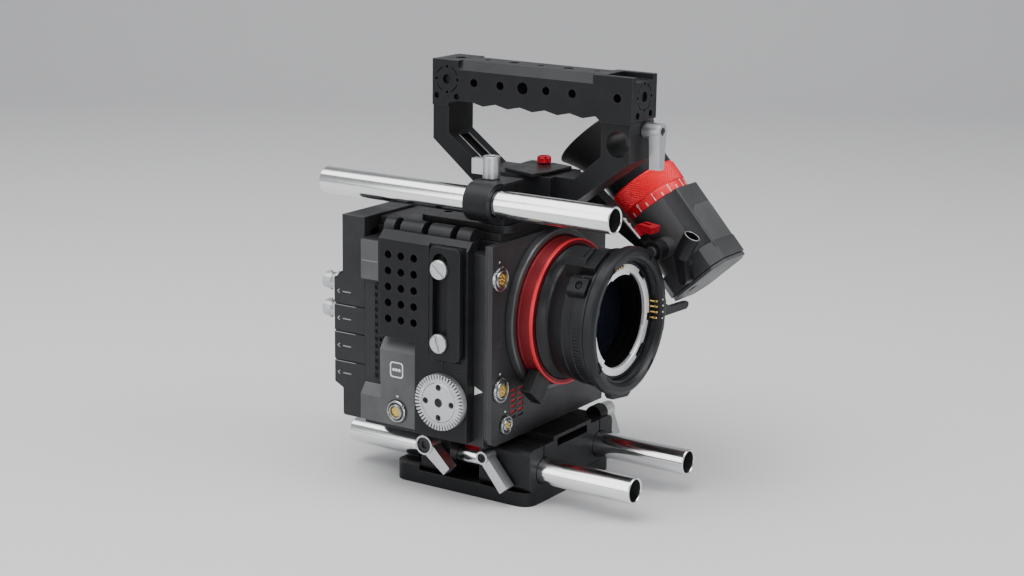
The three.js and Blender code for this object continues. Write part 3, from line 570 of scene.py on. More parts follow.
def about_lens(name, profile, sides=160):
    return turned(name, profile, LENS, "y", sides)


def at_lens(degrees, radius):
    """A point on a circle about the lens axis, counted from +X towards -Z as the joints turn."""
    angle = math.radians(degrees)
    return LENS[0] + radius * math.cos(angle), 0, LENS[2] - radius * math.sin(angle)


def lens_prism(name, outline, start, end, degrees):
    """An outline drawn in (distance out, height) at the lens axis, turned round it by degrees."""
    made = prism(name, outline, "y", start, end)
    made.data.transform(Matrix.Translation((0, 0, LENS[2] * MM)))
    return spin(made, "y", degrees, LENS)


def lens_block(name, reach, depth, half, degrees):
    return spin(block(name, reach, depth, (LENS[2] - half, LENS[2] + half)), "y", degrees, LENS)


def make_base_ring():
    front = span_of("mount_base_ring")[1][0]
    ring = about_lens("mount_base_lip", [
        (38.5, -18), (42.6, -18), (42.6, -29.9), (46.3, -29.9), (46.3, front + 1.2), (45.9, front + 0.3),
        (45.1, front), (43.2, front), (42.2, front + 0.8), (42.2, -30.2), (38.5, -30.2),
    ])
    stand_for(soften(ring, 0.2), "mount_base_ring", TURNED_GREY)


def make_locking_ring():
    ring = about_lens("locking_ring", [
        (38.5, -30.6), (41.7, -30.6), (41.7, -31.2), (41.5, -35), (41.2, -35.3), (41.0, -41.5),
        (40.6, -44), (38.5, -44),
    ])
    stand_for(soften(ring, 0.15), "mount_locking_ring", DARK_RED)
    band = about_lens("locking_ring_front_band", [
        (40.2, -42.0), (41.4, -42.0), (41.4, -43.6), (41.1, -44.0), (40.2, -44.0),
    ])
    add_on(soften(band, 0.12), "mount_locking_ring", "red_metal", BRIGHT_RED)
    tab = lens_block("locking_ring_tab", (40.9, 55), (-43, -36.2), 7.5, 0)
    ribs = []
    for z in (-5, -2.5, 0, 2.5, 5):
        ribs.append(block("rib", (54.4, 56), (-44, -35), (LENS[2] + z - 0.5, LENS[2] + z + 0.5)))
    carve(tab, ribs)
    spin(tab, "y", TAB_TURN, LENS)
    add_on(soften(tab, 0.6, 3), "mount_locking_ring", "body_black")


def make_adapter():
    barrel = about_lens("adapter_barrel", [
        (27.3, -22), (38.1, -22), (38.1, -44.6), (36.2, -46.2), (34.9, -48.2), (34.7, -49.6),
        (35.4, -51.4), (36.4, -53.2), (37.3, -56.2), (38.0, -60), (38.2, -60.2), (38.2, -60.9),
        (38.0, -61.1), (38.5, -66.0), (38.7, -66.2), (38.7, -66.9), (38.5, -67.1), (39, -73.7),
        (33.1, -73.7), (33.1, -76), (31.8, -76), (31.8, -73.2), (27.3, -73.2), (27.3, -60.6),
        (30, -60.6), (30, -57.4), (27.3, -57.4),
    ], 192)
    stand_for(soften(barrel, 0.15, 2, 24), "mount_adapter", TURNED_BLACK)
    grips = [lens_block("rib", (38.0, 39.2), (-72.9, -67.6), 0.32, 3 * i + 38)
             for i in range(120) if i % 30 < 24]
    grips = soften(joined("adapter_grip_ribs", grips), 0.1, 1)
    add_on(grips, "mount_adapter", "body_black", TURNED_BLACK)

    lug = lens_prism("adapter_lug", [
        (35, -5.6), (40, -5.6), (42.5, -4.2), (42.5, 4.2), (40, 5.6), (35, 5.6),
    ], -73.6, -61.8, 0)
    seat = (0, -68.4, LENS[2])
    carve(lug, [turned("hole", [(0, 41.0), (2.1, 41.0), (2.1, 44), (0, 44)], seat, "x", 32)])
    spin(lug, "y", LUG_TURN, LENS)
    add_on(soften(lug, 0.5, 3), "mount_adapter", "body_black")
    screw = turned("adapter_lug_screw", [
        (0, 39), (1.7, 39), (1.7, 41.6), (1.4, 41.9), (0.8, 41.9), (0.8, 41.2), (0, 41.2),
    ], seat, "x", 32)
    spin(screw, "y", LUG_TURN, LENS)
    add_on(soften(screw, 0.1, 1), "mount_adapter", "body_black")

    release = lens_prism("adapter_release_block", [
        (34.5, -9.5), (39.5, -9.5), (44.9, -5.2), (44.9, 4.4), (42.6, 8.2), (34.5, 9.5),
    ], -73.6, -55, 0)
    step = lens_block("step", (42.4, 46), (-74, -67.5), 12, 0)
    slot = block("slot", (43.9, 46), (-65.4, -64.4), (LENS[2] - 4.2, LENS[2] + 3.4))
    carve(release, [step, slot])
    spin(release, "y", RELEASE_TURN, LENS)
    add_on(soften(release, 0.6, 3), "mount_adapter", "body_black")


def make_lens_lock_ring():
    ring = about_lens("lens_ring", [
        (33.5, -74), (40.4, -74), (40.4, -75.2), (41.3, -76), (41.7, -76.6), (41.7, -79.8),
        (41.1, -80.9), (40.3, -81.4), (39.0, -82), (36.6, -82), (35.6, -81.2), (35.0, -80.6),
        (34.6, -79.5), (33.5, -79.5),
    ], 192)
    pockets = (-62, 52, 150, 235)
    carve(ring, [lens_block("pocket", (36.5, 39.2), (-82.6, -81.3), 3.6, degrees) for degrees in pockets])
    stand_for(soften(ring, 0.2, 2, 24), "lens_lock_ring", TURNED_BLACK)
    outline = [(38, -11), (41.2, -11), (43.3, -8), (43.3, 8), (41.2, 11), (38, 11)]
    lobes = [lens_prism("lobe", outline, -80, -75.5, degrees) for degrees in (7, 97)]
    add_on(soften(joined("lens_ring_lobes", lobes), 0.6, 3), "lens_lock_ring", "body_black")
    lever = lens_prism("lens_ring_lever", [
        (40.5, -3.4), (66.5, -3.0), (68.8, -1.6), (68.8, 0.8), (66.5, 1.7), (47, 1.7), (40.5, 4.4),
    ], -81, -78, 3)
    add_on(soften(lever, 0.5, 3), "lens_lock_ring", "body_black")


def make_flange():
    front, back = span_of("lens_flange")[1]
    face = about_lens("bayonet_flange", [
        (27, back), (31.5, back), (31.5, front + 0.25), (31.2, front), (27.35, front), (27, front + 0.35),
    ], 192)
    notches = ((45, 4.6), (135, 3.4), (225, 6.2), (315, 4.0), (8, 2.2), (190, 1.6), (268, 1.6))
    depth = (front - 1, back + 1)
    carve(face, [lens_block("notch", (29.2, 33), depth, half, degrees) for degrees, half in notches])
    stand_for(soften(face, 0.12), "lens_flange", FLANGE_STEEL)
    centre = (LENS[0], LENS[2])
    tongues = [prism("tongue", arc_band(25.4, 27.1, centre, start, 42), "y", front + 0.35, front + 1.5)
               for start in (70, 190, 300)]
    add_on(soften(joined("bayonet_tongues", tongues), 0.12, 1), "lens_flange", "chrome", FLANGE_STEEL)
    contact = [(0, front), (0.55, front), (0.55, front - 0.35), (0.3, front - 0.6), (0, front - 0.6)]
    pins = [turned("pin", contact, at_lens(-92 + 4.6 * (k - 2), 30.0), "y", 16) for k in range(5)]
    add_on(soften(joined("flange_upper_contacts", pins), 0.05, 1), "lens_flange", "gold_contacts")
    band = arc_band(29.1, 31.0, centre, 86.5, 22)
    seat = prism("flange_contact_seats", band, "y", front - 0.12, front + 0.1)
    add_on(seat, "lens_flange", "black_plastic")
    contact = [(0, -76), (0.65, -76), (0.65, -80.2), (0.4, -80.5), (0, -80.5)]
    side_pins = [turned("pin", contact, at_lens(-8.5 + 5.7 * k, 32.5), "y", 16) for k in range(4)]
    dot = [(0, -81.6), (0.5, -81.6), (0.5, -82.0), (0, -82.0)]
    dots = [turned("dot", dot, at_lens(-8.5 + 5.7 * k, 36.4), "y", 12) for k in range(4)]
    add_on(soften(joined("ring_side_contacts", side_pins), 0.1, 1), "lens_flange", "gold_contacts")
    add_on(joined("ring_index_dots", dots), "lens_lock_ring", "body_black", WHITE_INK)


def make_sensor_glass():
    front, back = span_of("sensor_glass")[1]
    glass = about_lens("filter_glass", [
        (0, back), (29.6, back), (29.6, front + 0.4), (29.0, front), (24, front + 0.25),
        (16, front + 0.6), (8, front + 0.8), (0, front + 0.86),
    ], 128)
    stand_for(soften(glass, 0.1, 1), "sensor_glass")
    baffle = about_lens("throat_baffle", [
        (27.25, -72.9), (26.0, -72.9), (26.0, -71.8), (26.4, -71.4), (26.4, -69.6), (26.0, -69.2),
        (26.0, -67.2), (26.4, -66.8), (26.4, -65.0), (26.0, -64.6), (26.0, -61.2), (27.25, -61.2),
    ], 128)
    add_on(soften(baffle, 0.08, 1), "mount_adapter", "body_black", FLOCK)
    lining = [(27.29, -61.2), (26.9, -61.2), (26.9, -73.1), (27.29, -73.1)]
    tube = about_lens("throat_lining", lining, 128)
    add_on(tube, "mount_adapter", "body_black", FLOCK)


# ---- Sockets and connectors ----------------------------------------------------------------------

GOLD_INSERT = bright_metal("gold_insert", (0.62, 0.47, 0.14), 0.42, (500, 500, 500))


def socket_piece(name, node, axis, contacts):
    """Round multi-pin socket: notched nut, polished rim and a gold insert with its contacts."""
    spans = dict(zip("xyz", span_of(node)))
    origin = middle_of(node, axis)
    u, v = (value for value, letter in zip(origin, "xyz") if letter != axis)
    low, high = spans["z" if axis == "x" else "x"]
    radius, seat = (high - low) / 2, spans[axis][0] + 2.2
    nut = turned(name + "_nut", offset([
        (-2.3, 8), (-2.3, 0), (0, 0), (0, -1.1), (-0.4, -1.5), (-0.9, -1.5), (-1.1, -1.2), (-1.9, -1.2),
        (-2.1, -2.0), (-2.5, -2.2), (-2.9, -2.2), (-3.1, -0.2), (-radius, -0.2), (-radius, 8),
    ], radius, seat), origin, axis)
    carve(nut, holes(circle(radius + 0.2, (u, v), 6, 20), 0.8, 16, axis, seat - 3, seat - 0.5))
    stand_for(soften(nut, 0.12, 2), node, SOCKET_NUT)
    inside = radius - 3.3
    core = turned(name + "_insert", [
        (0, seat), (inside, seat), (inside, seat - 1.1), (inside - 0.3, seat - 1.4), (0, seat - 1.4),
    ], origin, axis, 48)
    add_on(soften(core, 0.08, 1), node, "gold_contacts", GOLD_INSERT)
    ring = circle(inside * 0.6, (u, v), contacts if contacts < 6 else contacts - 1, math.degrees(0.4))
    middle = [] if 2 < contacts < 6 else [(u, v)]
    spots = middle + ring if contacts < 3 else ring + middle
    contact = offset([(0, -1.2), (0.4, -1.2), (0.4, -1.8), (0.25, -2.0), (0, -2.0)], 0, seat)
    pins = [turned("pin", contact, point_on(spot, axis), axis, 16) for spot in spots]
    add_on(joined(name + "_contacts", pins), node, "gold_contacts")
    gap = offset([(-1.95, -1.1), (-1.0, -1.1), (-1.0, -1.26), (-1.95, -1.26)], radius, seat)
    add_on(turned(name + "_gap", gap, origin, axis, 64), node, "black_plastic")


def make_sockets():
    socket_piece("front_socket_upper", "front_socket_upper", "y", 8)
    socket_piece("front_socket_middle", "front_socket_middle", "y", 8)
    socket_piece("front_socket_lower", "front_socket_lower", "y", 5)
    socket_piece("power_socket", "dc_socket", "x", 2)


def make_coaxial(node):
    start, end = span_of(node)[1]
    origin = middle_of(node, "y")
    shell = turned(node + "_shell", [
        (0, start), (6.2, start), (6.2, start + 1.3), (5.9, start + 1.6), (5.0, start + 1.6),
        (5.0, start + 3.2), (4.8, start + 3.5), (4.8, start + 4.6), (4.4, start + 4.9),
        (4.4, start + 5.5), (4.8, start + 5.8), (4.8, end - 0.4), (4.4, end), (3.9, end),
        (3.8, start + 4.2), (0, start + 4.2),
    ], origin, "y", 64)
    stand_for(soften(shell, 0.1, 1), node)
    seat = (origin[0], start + 7.7, origin[2])
    lugs = []
    for side in (-1, 1):
        lug = [(0, 5.6), (0.9, 5.6), (1.0, 5.4), (1.0, 4.5), (0, 4.5)]
        lugs.append(turned("lug", [(radius, side * along) for radius, along in lug], seat, "z", 24))
    add_on(joined(node + "_bayonet_lugs", lugs), node, "steel")
    core = turned(node + "_centre", [
        (0, start + 4.2), (2.6, start + 4.2), (2.6, end - 2), (1.0, end - 2), (0.6, end - 1.2),
        (0, end - 1.2),
    ], origin, "y", 32)
    add_on(soften(core, 0.1, 1), node, "gold_contacts")


def make_rosette():
    """Toothed disc: flat-topped teeth that deepen outwards round a plain centre with its screws."""
    (face, back), (y0, y1), _ = span_of("rosette")
    origin = middle_of("rosette", "x")
    y, z = origin[1:]
    outer, inner, teeth = (y1 - y0) / 2, 11.3, 48
    tooth = [(-0.27, 0), (0.27, 0), (0.36, 1), (0.64, 1)]
    around = [(2 * math.pi * (k + part) / teeth, low) for k in range(teeth) for part, low in tooth]
    rows = [(inner, (0.2, 0.32)), (outer - 0.1, (0.2, 1.15)), (outer, (1.4, 1.4)),
            (outer, (back - face, back - face)), (inner, (back - face, back - face))]
    toothed = lofted("rosette_teeth", [
        [(face + depths[low], y + radius * math.cos(a), z + radius * math.sin(a)) for a, low in around]
        for radius, depths in rows
    ])
    bevel = toothed.modifiers.new("edges", "BEVEL")
    bevel.width = 0.04 * MM
    bevel.limit_method = "ANGLE"
    bevel.angle_limit = math.radians(25)
    stand_for(toothed, "rosette")
    disc = turned("rosette_centre", [
        (2.6, face + 0.02), (10.8, face + 0.02), (11.1, face + 0.3), (11.1, back), (2.6, back),
    ], origin, "x")
    seats = [(0,) + spot for spot in circle(8.6, (y, z), 4)]
    bore = [(0, face - 1), (1.75, face - 1), (1.75, face + 2.2), (0, face + 2.2)]
    carve(disc, [turned("hole", bore, seat, "x", 32) for seat in seats])
    add_on(soften(disc, 0.15, 2), "rosette", "steel")
    head = [(0, 2.15), (1.5, 2.15), (1.5, 0.9), (1.3, 0.7), (0.8, 0.7), (0.8, 1.6), (0, 1.6)]
    head = offset(head, 0, face)
    screws = joined("rosette_screws", [turned("screw", head, seat, "x", 24) for seat in seats])
    add_on(soften(screws, 0.08, 1), "rosette", "steel", DARK_STEEL)
    thread = offset([(0, 2.2), (2.55, 2.2), (2.55, 2.6), (0, 2.6)], 0, face)
    add_on(turned("rosette_thread", thread, origin, "x", 32), "rosette", "black_plastic")
    # painted shade: a dark steel annulus sunk under the teeth shows through the deeper roots as dark
    # lines, standing in for the shade in the tooth gaps
    gaps = offset([(12.3, 0.74), (15.55, 0.66), (15.55, 1.0), (12.3, 1.0)], 0, face)
    add_on(turned("rosette_gap_shade", gaps, origin, "x"), "rosette", "steel", DARK_STEEL)


# ---- Body panels ---------------------------------------------------------------------------------

RAIL = span_of("slotted_rail")
CHEEK = span_of("right_side_plate")


def make_side_plate():
    face = CHEEK[0][0]
    centres = [(34.4 - 8.75 * column, 137.9 - 9.1 * row) for column in range(3) for row in range(5)]
    (y0, y1), (z0, z1) = RAIL[1:]
    border = rounded((y0 - 1.3, y1 + 3.2), (z0 - 1.6, CHEEK[2][1] + 2), 4)
    moat = prism("moat", border, "x", face - 1, face + 1.4)
    island = rounded((y0 + 0.4, y1 - 0.4), (z0 + 0.4, z1 - 0.4), 2.6)
    carve(moat, [prism("island", island, "x", face - 2, face + 2)])
    lines = [
        block("line", (face - 1, face + 0.5), (-4.0, -3.4), (78.4, 84)),
        block("line", (face - 1, face + 0.5), (-20, -4.0), (77.9, 78.5)),
    ]
    cuts = [holes(centres, 2.35, 32, "x", face - 1, face + 8), [moat]] + [[line] for line in lines]
    reshaped("right_side_plate", "side_plate", 0.45, cuts)


def make_label_pad():
    pad = prism("label_pad", rounded((43.0, 55.1), (121.2, 143.6), 0.8), "x", -64.65, -64.2)
    add_on(soften(pad, 0.15), "body_shell", "panel_grey")
    rule = block("label_rule", (-64.72, -64.6), (43.6, 54.5), (131.6, 131.9))
    add_on(rule, "body_shell", "body_charcoal", GREY_INK)


def make_perforations():
    """Narrow grille of small square holes between the side plate and the back module."""
    data = bmesh.new()
    columns = [41.6, 42.4, 44.3, 45.3, 47.2, 48.0]
    rows = [63.4]
    for k in range(13):
        low = 64.3 + 4.25 * k
        rows += [low, low + 2.5]
    rows.append(rows[-1] + 0.9)
    grid = [[data.verts.new((-61.5 * MM, y * MM, z * MM)) for z in rows] for y in columns]
    for i, (first, second) in enumerate(zip(grid, grid[1:])):
        for j in range(len(rows) - 1):
            if i % 2 == 0 or j % 2 == 0:
                data.faces.new((first[j], first[j + 1], second[j + 1], second[j]))
    bmesh.ops.recalc_face_normals(data, faces=data.faces)
    grille = object_from("side_grille", data)
    thick = grille.modifiers.new("thickness", "SOLIDIFY")
    thick.thickness = 0.85 * MM
    thick.offset = 0
    add_on(soften(with_modifiers_applied(grille), 0.12, 2), "body_shell", "body_black")


def make_front_plate():
    (x0, _), (front, rear), (bottom, _) = span_of("front_plate")
    bore = holes([(LENS[0], LENS[2])], 43.05, 128, "y", front - 1, rear + 1)
    slots = []
    for x in (-37.0, -29.6):
        for z in [48.4 + 3.1 * row for row in range(6)]:
            outline = [(x - 2.8, z - 1.0), (x + 2.8, z - 0.7), (x + 2.8, z + 0.9), (x - 2.8, z + 0.6)]
            slots.append(prism("slot", outline, "y", front - 1, front + 0.9))
    dots = [(-54.5 + 2.1 * (k % 3), 88 + 2.2 * (k // 3)) for k in range(12)]
    slots += holes(dots, 0.42, 12, "y", front - 1, front + 0.8)
    slots += holes([(-33, 41.5)], 0.7, 16, "y", front - 1, front + 1.0)
    corner = [(x0 - 1, bottom - 1), (x0 + 7, bottom - 1)]
    corner += circle(7, (x0 + 7, bottom + 7), 10, -90, -90) + [(x0 - 1, bottom + 7)]
    cuts = [bore, slots, [prism("corner", corner, "y", front - 2, rear + 2)]]
    reshaped("front_plate", "camera_front", 0.5, cuts, FRONT_COAT)
    filters = []
    for x in (-37.0, -29.6):
        filters.append(block("filter", (x - 3.1, x + 3.1), (front + 0.55, front + 1.2), (50.0, 66.0)))
        for z in [51.5 + 3.1 * row for row in range(5)]:
            filters += [
                block("web", (x + step, x + step + 0.3), (front + 0.3, front + 0.6), (z - 0.9, z + 0.9))
                for step in (-1.1, 0.9)
            ]
    add_on(joined("vent_filters", filters), "front_plate", "red_metal", VENT_RED)


def make_markings():
    """Generic arrows and tick marks, with no lettering."""
    front = span_of("front_plate")[1][0]
    pointer = [(-25.0, 67.6), (-19.6, 70.1), (-19.6, 65.1)]
    marks = prism("side_pointer", pointer, "x", -60.62, -60.45)
    add_on(marks, "body_shell", "body_charcoal", WHITE_INK)
    arrows = []
    for node in ("front_socket_upper", "front_socket_middle", "front_socket_lower"):
        x, high = middle_of(node, "y")[0], span_of(node)[2][1]
        arrows.append([(x - 0.9, high + 2.4), (x + 0.9, high + 2.4), (x, high + 1.2)])
    inked("socket_pointers", "front_plate", "body_charcoal", arrows, "y", front)
    panel = span_of("power_panel")[0][0]
    y, high = middle_of("dc_socket", "x")[1], span_of("dc_socket")[2][1]
    under, over = panel - INK_UNDER, panel + INK_OVER
    emblem = prism("mark", rounded((25.4, 34.4), (67.6, 76.6), 1.8), "x", under, over)
    inside = rounded((26.1, 33.7), (68.3, 75.9), 1.4)
    carve(emblem, [prism("mark", inside, "x", panel - 0.2, panel + 0.2)])
    pointer = [(y - 0.9, high + 2.6), (y + 0.9, high + 2.6), (y, high + 1.4)]
    pointer = prism("mark", pointer, "x", under, over)
    dots = holes([(28.0 + 1.95 * k, 72.1) for k in range(3)], 0.9, 20, "x", under, over)
    marks = joined("power_panel_marks", [pointer, emblem] + dots)
    add_on(marks, "power_panel", "panel_grey", WHITE_INK)
    side = span_of("back_module")[0][0]
    pointers = []
    for z in (110.2, 94.4, 78.4, 62.4):
        pointers.append([
            (75.4, z), (73.9, z + 1.3), (73.4, z + 1.0), (74.5, z), (73.4, z - 1.0), (73.9, z - 1.3),
        ])
        pointers.append(rounded((65.6, 71.4), (z - 0.3, z + 0.3), 0.28, 4))
    inked("port_pointers", "back_module", "body_charcoal", pointers, "x", side, GREY_INK)


def make_power_panel():
    face = span_of("power_panel")[0][0]
    seat = holes([middle_of("dc_socket", "x")[1:]], 6.9, 64, "x", face - 1, face + 0.35)
    reshaped("power_panel", "power_side_panel", 0.5, [seat], angle=25)


def flush_screws(name, node, places, axis, face):
    """Small socket screws set just under a face that looks along +axis."""
    head = offset([
        (0, -0.9), (1.75, -0.9), (1.75, -0.3), (1.45, -0.08), (0.85, -0.08), (0.85, -0.7), (0, -0.7),
    ], 0, face)
    screws = [turned("screw", head, point_on(place, axis), axis, 32) for place in places]
    add_on(soften(joined(name, screws), 0.06, 1), node, "steel", DARK_STEEL)


def make_left_side():
    """Control side: screen, keys, dial, record button and the door over the recording bay."""
    face = span_of("left_side_plate")[0][1]
    corners = [(-14.5, 138.5), (47.5, 138.5), (-14.5, 43), (47.5, 43)]
    keys = [(-2.0, 92.6), (8.7, 92.6), (19.4, 92.6), (30.1, 92.6)]
    dial = (43, 115)
    tools = holes(corners, SCREW_WELL, 32, "x", face - 0.9, face + 1)
    tools += holes(keys, 2.75, 32, "x", face - 0.35, face + 1)
    tools += holes([dial], 6.3, 64, "x", face - 0.6, face + 1)
    tools.append(block("seam", (face - 0.4, face + 1), (-12, 45), (86.2, 86.6)))
    tools += holes([(-12.5, 115)], 1.0, 16, "x", face - 0.8, face + 1)
    reshaped("left_side_plate", "control_plate", 0.5, [tools])
    flush_screws("control_plate_screws", "left_side_plate", corners, "x", face)
    cap = offset([(0, 0.5), (1.9, 0.5), (2.3, 0.2), (2.3, -0.4), (0, -0.4)], 0, face)
    caps = joined("menu_keys", [turned("key", cap, point_on(key, "x"), "x", 32) for key in keys])
    add_on(soften(caps, 0.1, 2), "left_side_plate", "black_rubber")
    knob = turned("menu_dial", offset([
        (0, 1.2), (1.2, 1.2), (1.6, 1.6), (4.6, 1.6), (5.6, 1.2), (5.6, -0.7), (0, -0.7),
    ], 0, face), point_on(dial, "x"), "x")
    carve(knob, holes(circle(5.75, dial, 24), 0.38, 10, "x", face, face + 2))
    add_on(soften(knob, 0.12, 2), "left_side_plate", "body_charcoal")
    outline = rounded((-5.6, 33.6), (100.4, 129.6), 1.2)
    screen = prism("control_screen", outline, "x", face - 0.85, face - 0.2)
    add_on(soften(screen, 0.15, 2), "left_side_plate", "dark_glass")
    leaf = face + 2.3
    y0, (z0, z1) = span_of("media_door")[1][0], span_of("media_door")[2]
    grips = []
    for y in [y0 + 2.6 + 1.7 * k for k in range(4)]:
        grips.append(block("grip", (leaf - 0.45, leaf + 1), (y, y + 0.7), (54, 70)))
    for z in (z0 + 11.8, z1 - 12.2):
        grips.append(block("knuckle", (face, leaf + 3), (26.0, 31), (z, z + 0.4)))
    reshaped("media_door", "recording_door", 0.35, [grips])
    button = turned("record_key", offset([
        (0, 1.05), (3.0, 1.1), (3.5, 1.5), (4.1, 1.5), (4.5, 1.1), (4.5, -1.4), (0, -1.4),
    ], 0, face), (0, 40, 66), "x", 64)
    stand_for(soften(button, 0.15, 2), "record_button")
    marks = [arc_band(6.1, 6.5, (40, 66), 0, 359.9, 64), circle(0.55, (40, 75.4), 16)]
    marks += [rounded((y - 1.1, y + 1.1), (z + 3.7, z + 4.0), 0.14, 4) for y, z in keys]
    inked("control_marks", "left_side_plate", "body_black", marks, "x", face)


def make_back():
    """Rear housing with an air outlet, cover screws and the battery plate."""
    side, step = span_of("back_module")[0][0], 71.5
    tools = [
        block("outlet", (-40.8 + 3.6 * k, -39.2 + 3.6 * k), (step - 1.1, step + 1), (127.5, 144.5))
        for k in range(23)
    ]
    corners = [(-54, 45.5), (54, 45.5), (-54, 144), (54, 144)]
    tools += holes(corners, SCREW_WELL, 32, "y", step - 0.9, step + 1)
    reshaped("back_module", "rear_housing", 0.7, [tools])
    flush_screws("rear_housing_screws", "back_module", corners, "y", step)
    # painted highlight: thin grey strips along the lower edge of each groove under the ports stand in for
    # light caught by those edges
    lips = [block("lip", (side - 0.05, side + 0.2), (62.4, 76.8), (z - 0.72, z - 0.42))
            for z in (102.7, 86.7, 69.7)]
    add_on(joined("port_groove_highlights", lips), "back_module", "body_charcoal", GREY_INK)
    (x0, x1), (_, face), (z0, z1) = span_of("battery_plate")
    corners = [(x0 + 5.5, z0 + 5.5), (x1 - 5.5, z0 + 5.5), (x0 + 5.5, z1 - 5.5), (x1 - 5.5, z1 - 14)]
    tools = holes(corners, SCREW_WELL, 32, "y", face - 0.9, face + 1)
    tools.append(prism("contact_well", rounded((-11, 11), (61.5, 67.5), 1.0), "y", face - 1.4, face + 1))
    reshaped("battery_plate", "battery_mount", 0.45, [tools])
    flush_screws("battery_plate_screws", "battery_plate", corners, "y", face)
    blades = [prism("blade", rounded((x - 0.9, x + 0.9), (62.4, 66.6), 0.5), "y", face - 1.5, face - 0.3)
              for x in (-8, -4, 0, 4, 8)]
    add_on(soften(joined("battery_contacts", blades), 0.12, 2), "battery_plate", "gold_contacts")


def make_guard_ribs():
    """Rounded guard ribs along both sides of the roof, broken by three gaps."""
    ribs = []
    for x in (-52.5, 52.5):
        for start, end in ((-13.9, -5.25), (-0.75, 13.75), (18.25, 32.75), (37.25, 43.9)):
            ribs.append(prism("rib", circle(5.96, (x, 150), 40, -25, 230), "y", start, end))
    add_on(soften(joined("guard_ribs", ribs), 0.7, 3, 40), "top_cover", "body_charcoal")


def make_screw(node, degrees):
    (head, tail), (y0, y1), _ = span_of(node)
    origin, radius = middle_of(node, "x"), (y1 - y0) / 2
    _, y, z = origin
    screw = turned(node + "_head", [
        (0, head), (radius - 0.8, head), (radius - 0.2, head + 0.35), (radius, head + 0.8),
        (radius, head + 2), (3, head + 2), (3, tail), (0, tail),
    ], origin, "x", 64)
    slot = block("slot", (head - 1, head + 1.0), (y - 8, y + 8), (z - 0.65, z + 0.65))
    carve(screw, [spin(slot, "x", degrees, origin)])
    stand_for(soften(screw, 0.15), node)


# ---- Rods, levers and base -----------------------------------------------------------------------

def make_rod(node):
    (x0, x1), (front, rear), _ = span_of(node)
    r, wall, ease = (x1 - x0) / 2, 1.3, 0.35
    tube = turned(node + "_tube", [
        (r - wall, front + ease), (r - wall + ease, front), (r - ease, front), (r, front + ease),
        (r, rear - ease), (r - ease, rear), (r - wall + ease, rear), (r - wall, rear - ease),
    ], middle_of(node, "y"), "y", 96)
    stand_for(soften(tube, 0.08, 2, 20), node)


def make_bored(node, name, width, rods):
    """Cuts the faceted rod bores of a CAD piece again as round ones."""
    start, end = span_of(node)[1]
    centres = [middle_of(rod, "y")[::2] for rod in rods]
    cuts = [holes([centre], ROD_BORE, 96, "y", start - 1, end + 1) for centre in centres]
    reshaped(node, name, width, cuts)


LEVER_SCREWS = {
    "base_lever_front": (2.45, -1.2),
    "base_lever_rear": (4.6, -1.2),
    "base_lever_left": (2.5, 1.2),
    "handle_lever": (2.2, -1.0),
    "rod_clamp_lever": (2.5, 1.0),
}


def lever_screw(node, bore, sink):
    """Dark hexagon-socket screw sunk in a lever's hub, seen from the hub's open end."""
    row = JOINTS[node + "_turn"]
    axis = max(range(3), key=lambda i: abs(row["axis"][i]))
    pivot = [value / MM for value in row["pos_m"]]
    pivot[axis] = 0
    ends = span_of(node)[axis]
    out, face = (-1, ends[0]) if sink < 0 else (1, ends[1])
    head, deep = face - out * abs(sink), face - out * 3.7
    screw = turned(node + "_screw", [
        (0, deep), (bore, deep), (bore, head + out * -0.2), (bore - 0.2, head), (bore * 0.5, head),
        (bore * 0.5, head - out * 1.2), (0, head - out * 1.2),
    ], pivot, "xyz"[axis], 32)
    add_on(soften(screw, 0.08, 1), node, SLOT_OF[node], DARK_STEEL)


def make_levers():
    for node in LEVER_SCREWS:
        reshaped(node, node + "_shape", 0.8, segments=4, angle=30)
    for node, (bore, sink) in LEVER_SCREWS.items():
        lever_screw(node, bore, sink)


# ---- Handle --------------------------------------------------------------------------------------

def pattern_cutters(centre, axis, start, end):
    """The round boss pattern at the handle's ends: centre hole, broken ring groove and small holes."""
    u, v = centre
    tools = holes([centre], 2.9, 40, axis, start, end)
    for first in (20, 110, 200, 290):
        tools.append(prism("arc", arc_band(6.9, 7.6, centre, first, 50, 12), axis, start, end))
    tools += holes(circle(7.2, centre, 4), 0.9, 16, axis, start, end)
    tools += holes([(u - 6.8, v - 9.6)], 2.0, 24, axis, start, end)
    return tools + holes([(u + 6.8, v - 9.6)], 1.9, 24, axis, start, end)


def make_handle():
    front, top = span_of("top_handle")[1][0], span_of("top_handle")[2][1]
    x0, x1 = -13, 13
    bores = []
    for y in (15.3, -2.2, -17, -32.2, -49, -77.3):
        bores += holes([(y, 228.3)], 3.45 if y == -17 else 2.45, 40, "x", x0 - 1, x1 + 1)
    reshaped("top_handle", "handle_frame", 0.6, [
        bores + holes([(-77, 203)], 7.3, 96, "x", x0 - 1, x1 + 1),
        holes([(0, 33)], 3.15, 40, "z", top - 3.2, top + 1),
        pattern_cutters((33.6, 229), "x", x0 - 1, x0 + 2.2),
        pattern_cutters((33.6, 229), "x", x1 - 2.2, x1 + 1),
        pattern_cutters((0, 228.6), "y", front - 1, front + 2.2),
    ], angle=26)
    low, high = span_of("handle_top_cover")[2]
    bores = []
    for i, y in enumerate((14.5, -3, -20.5, -38.5, -56.5)):
        bores += holes([(0, y)], 3.15 if i % 2 else 1.95, 32, "z", low - 1, high + 1)
    reshaped("handle_top_cover", "handle_cover", 0.3, [bores], segments=2, angle=30)


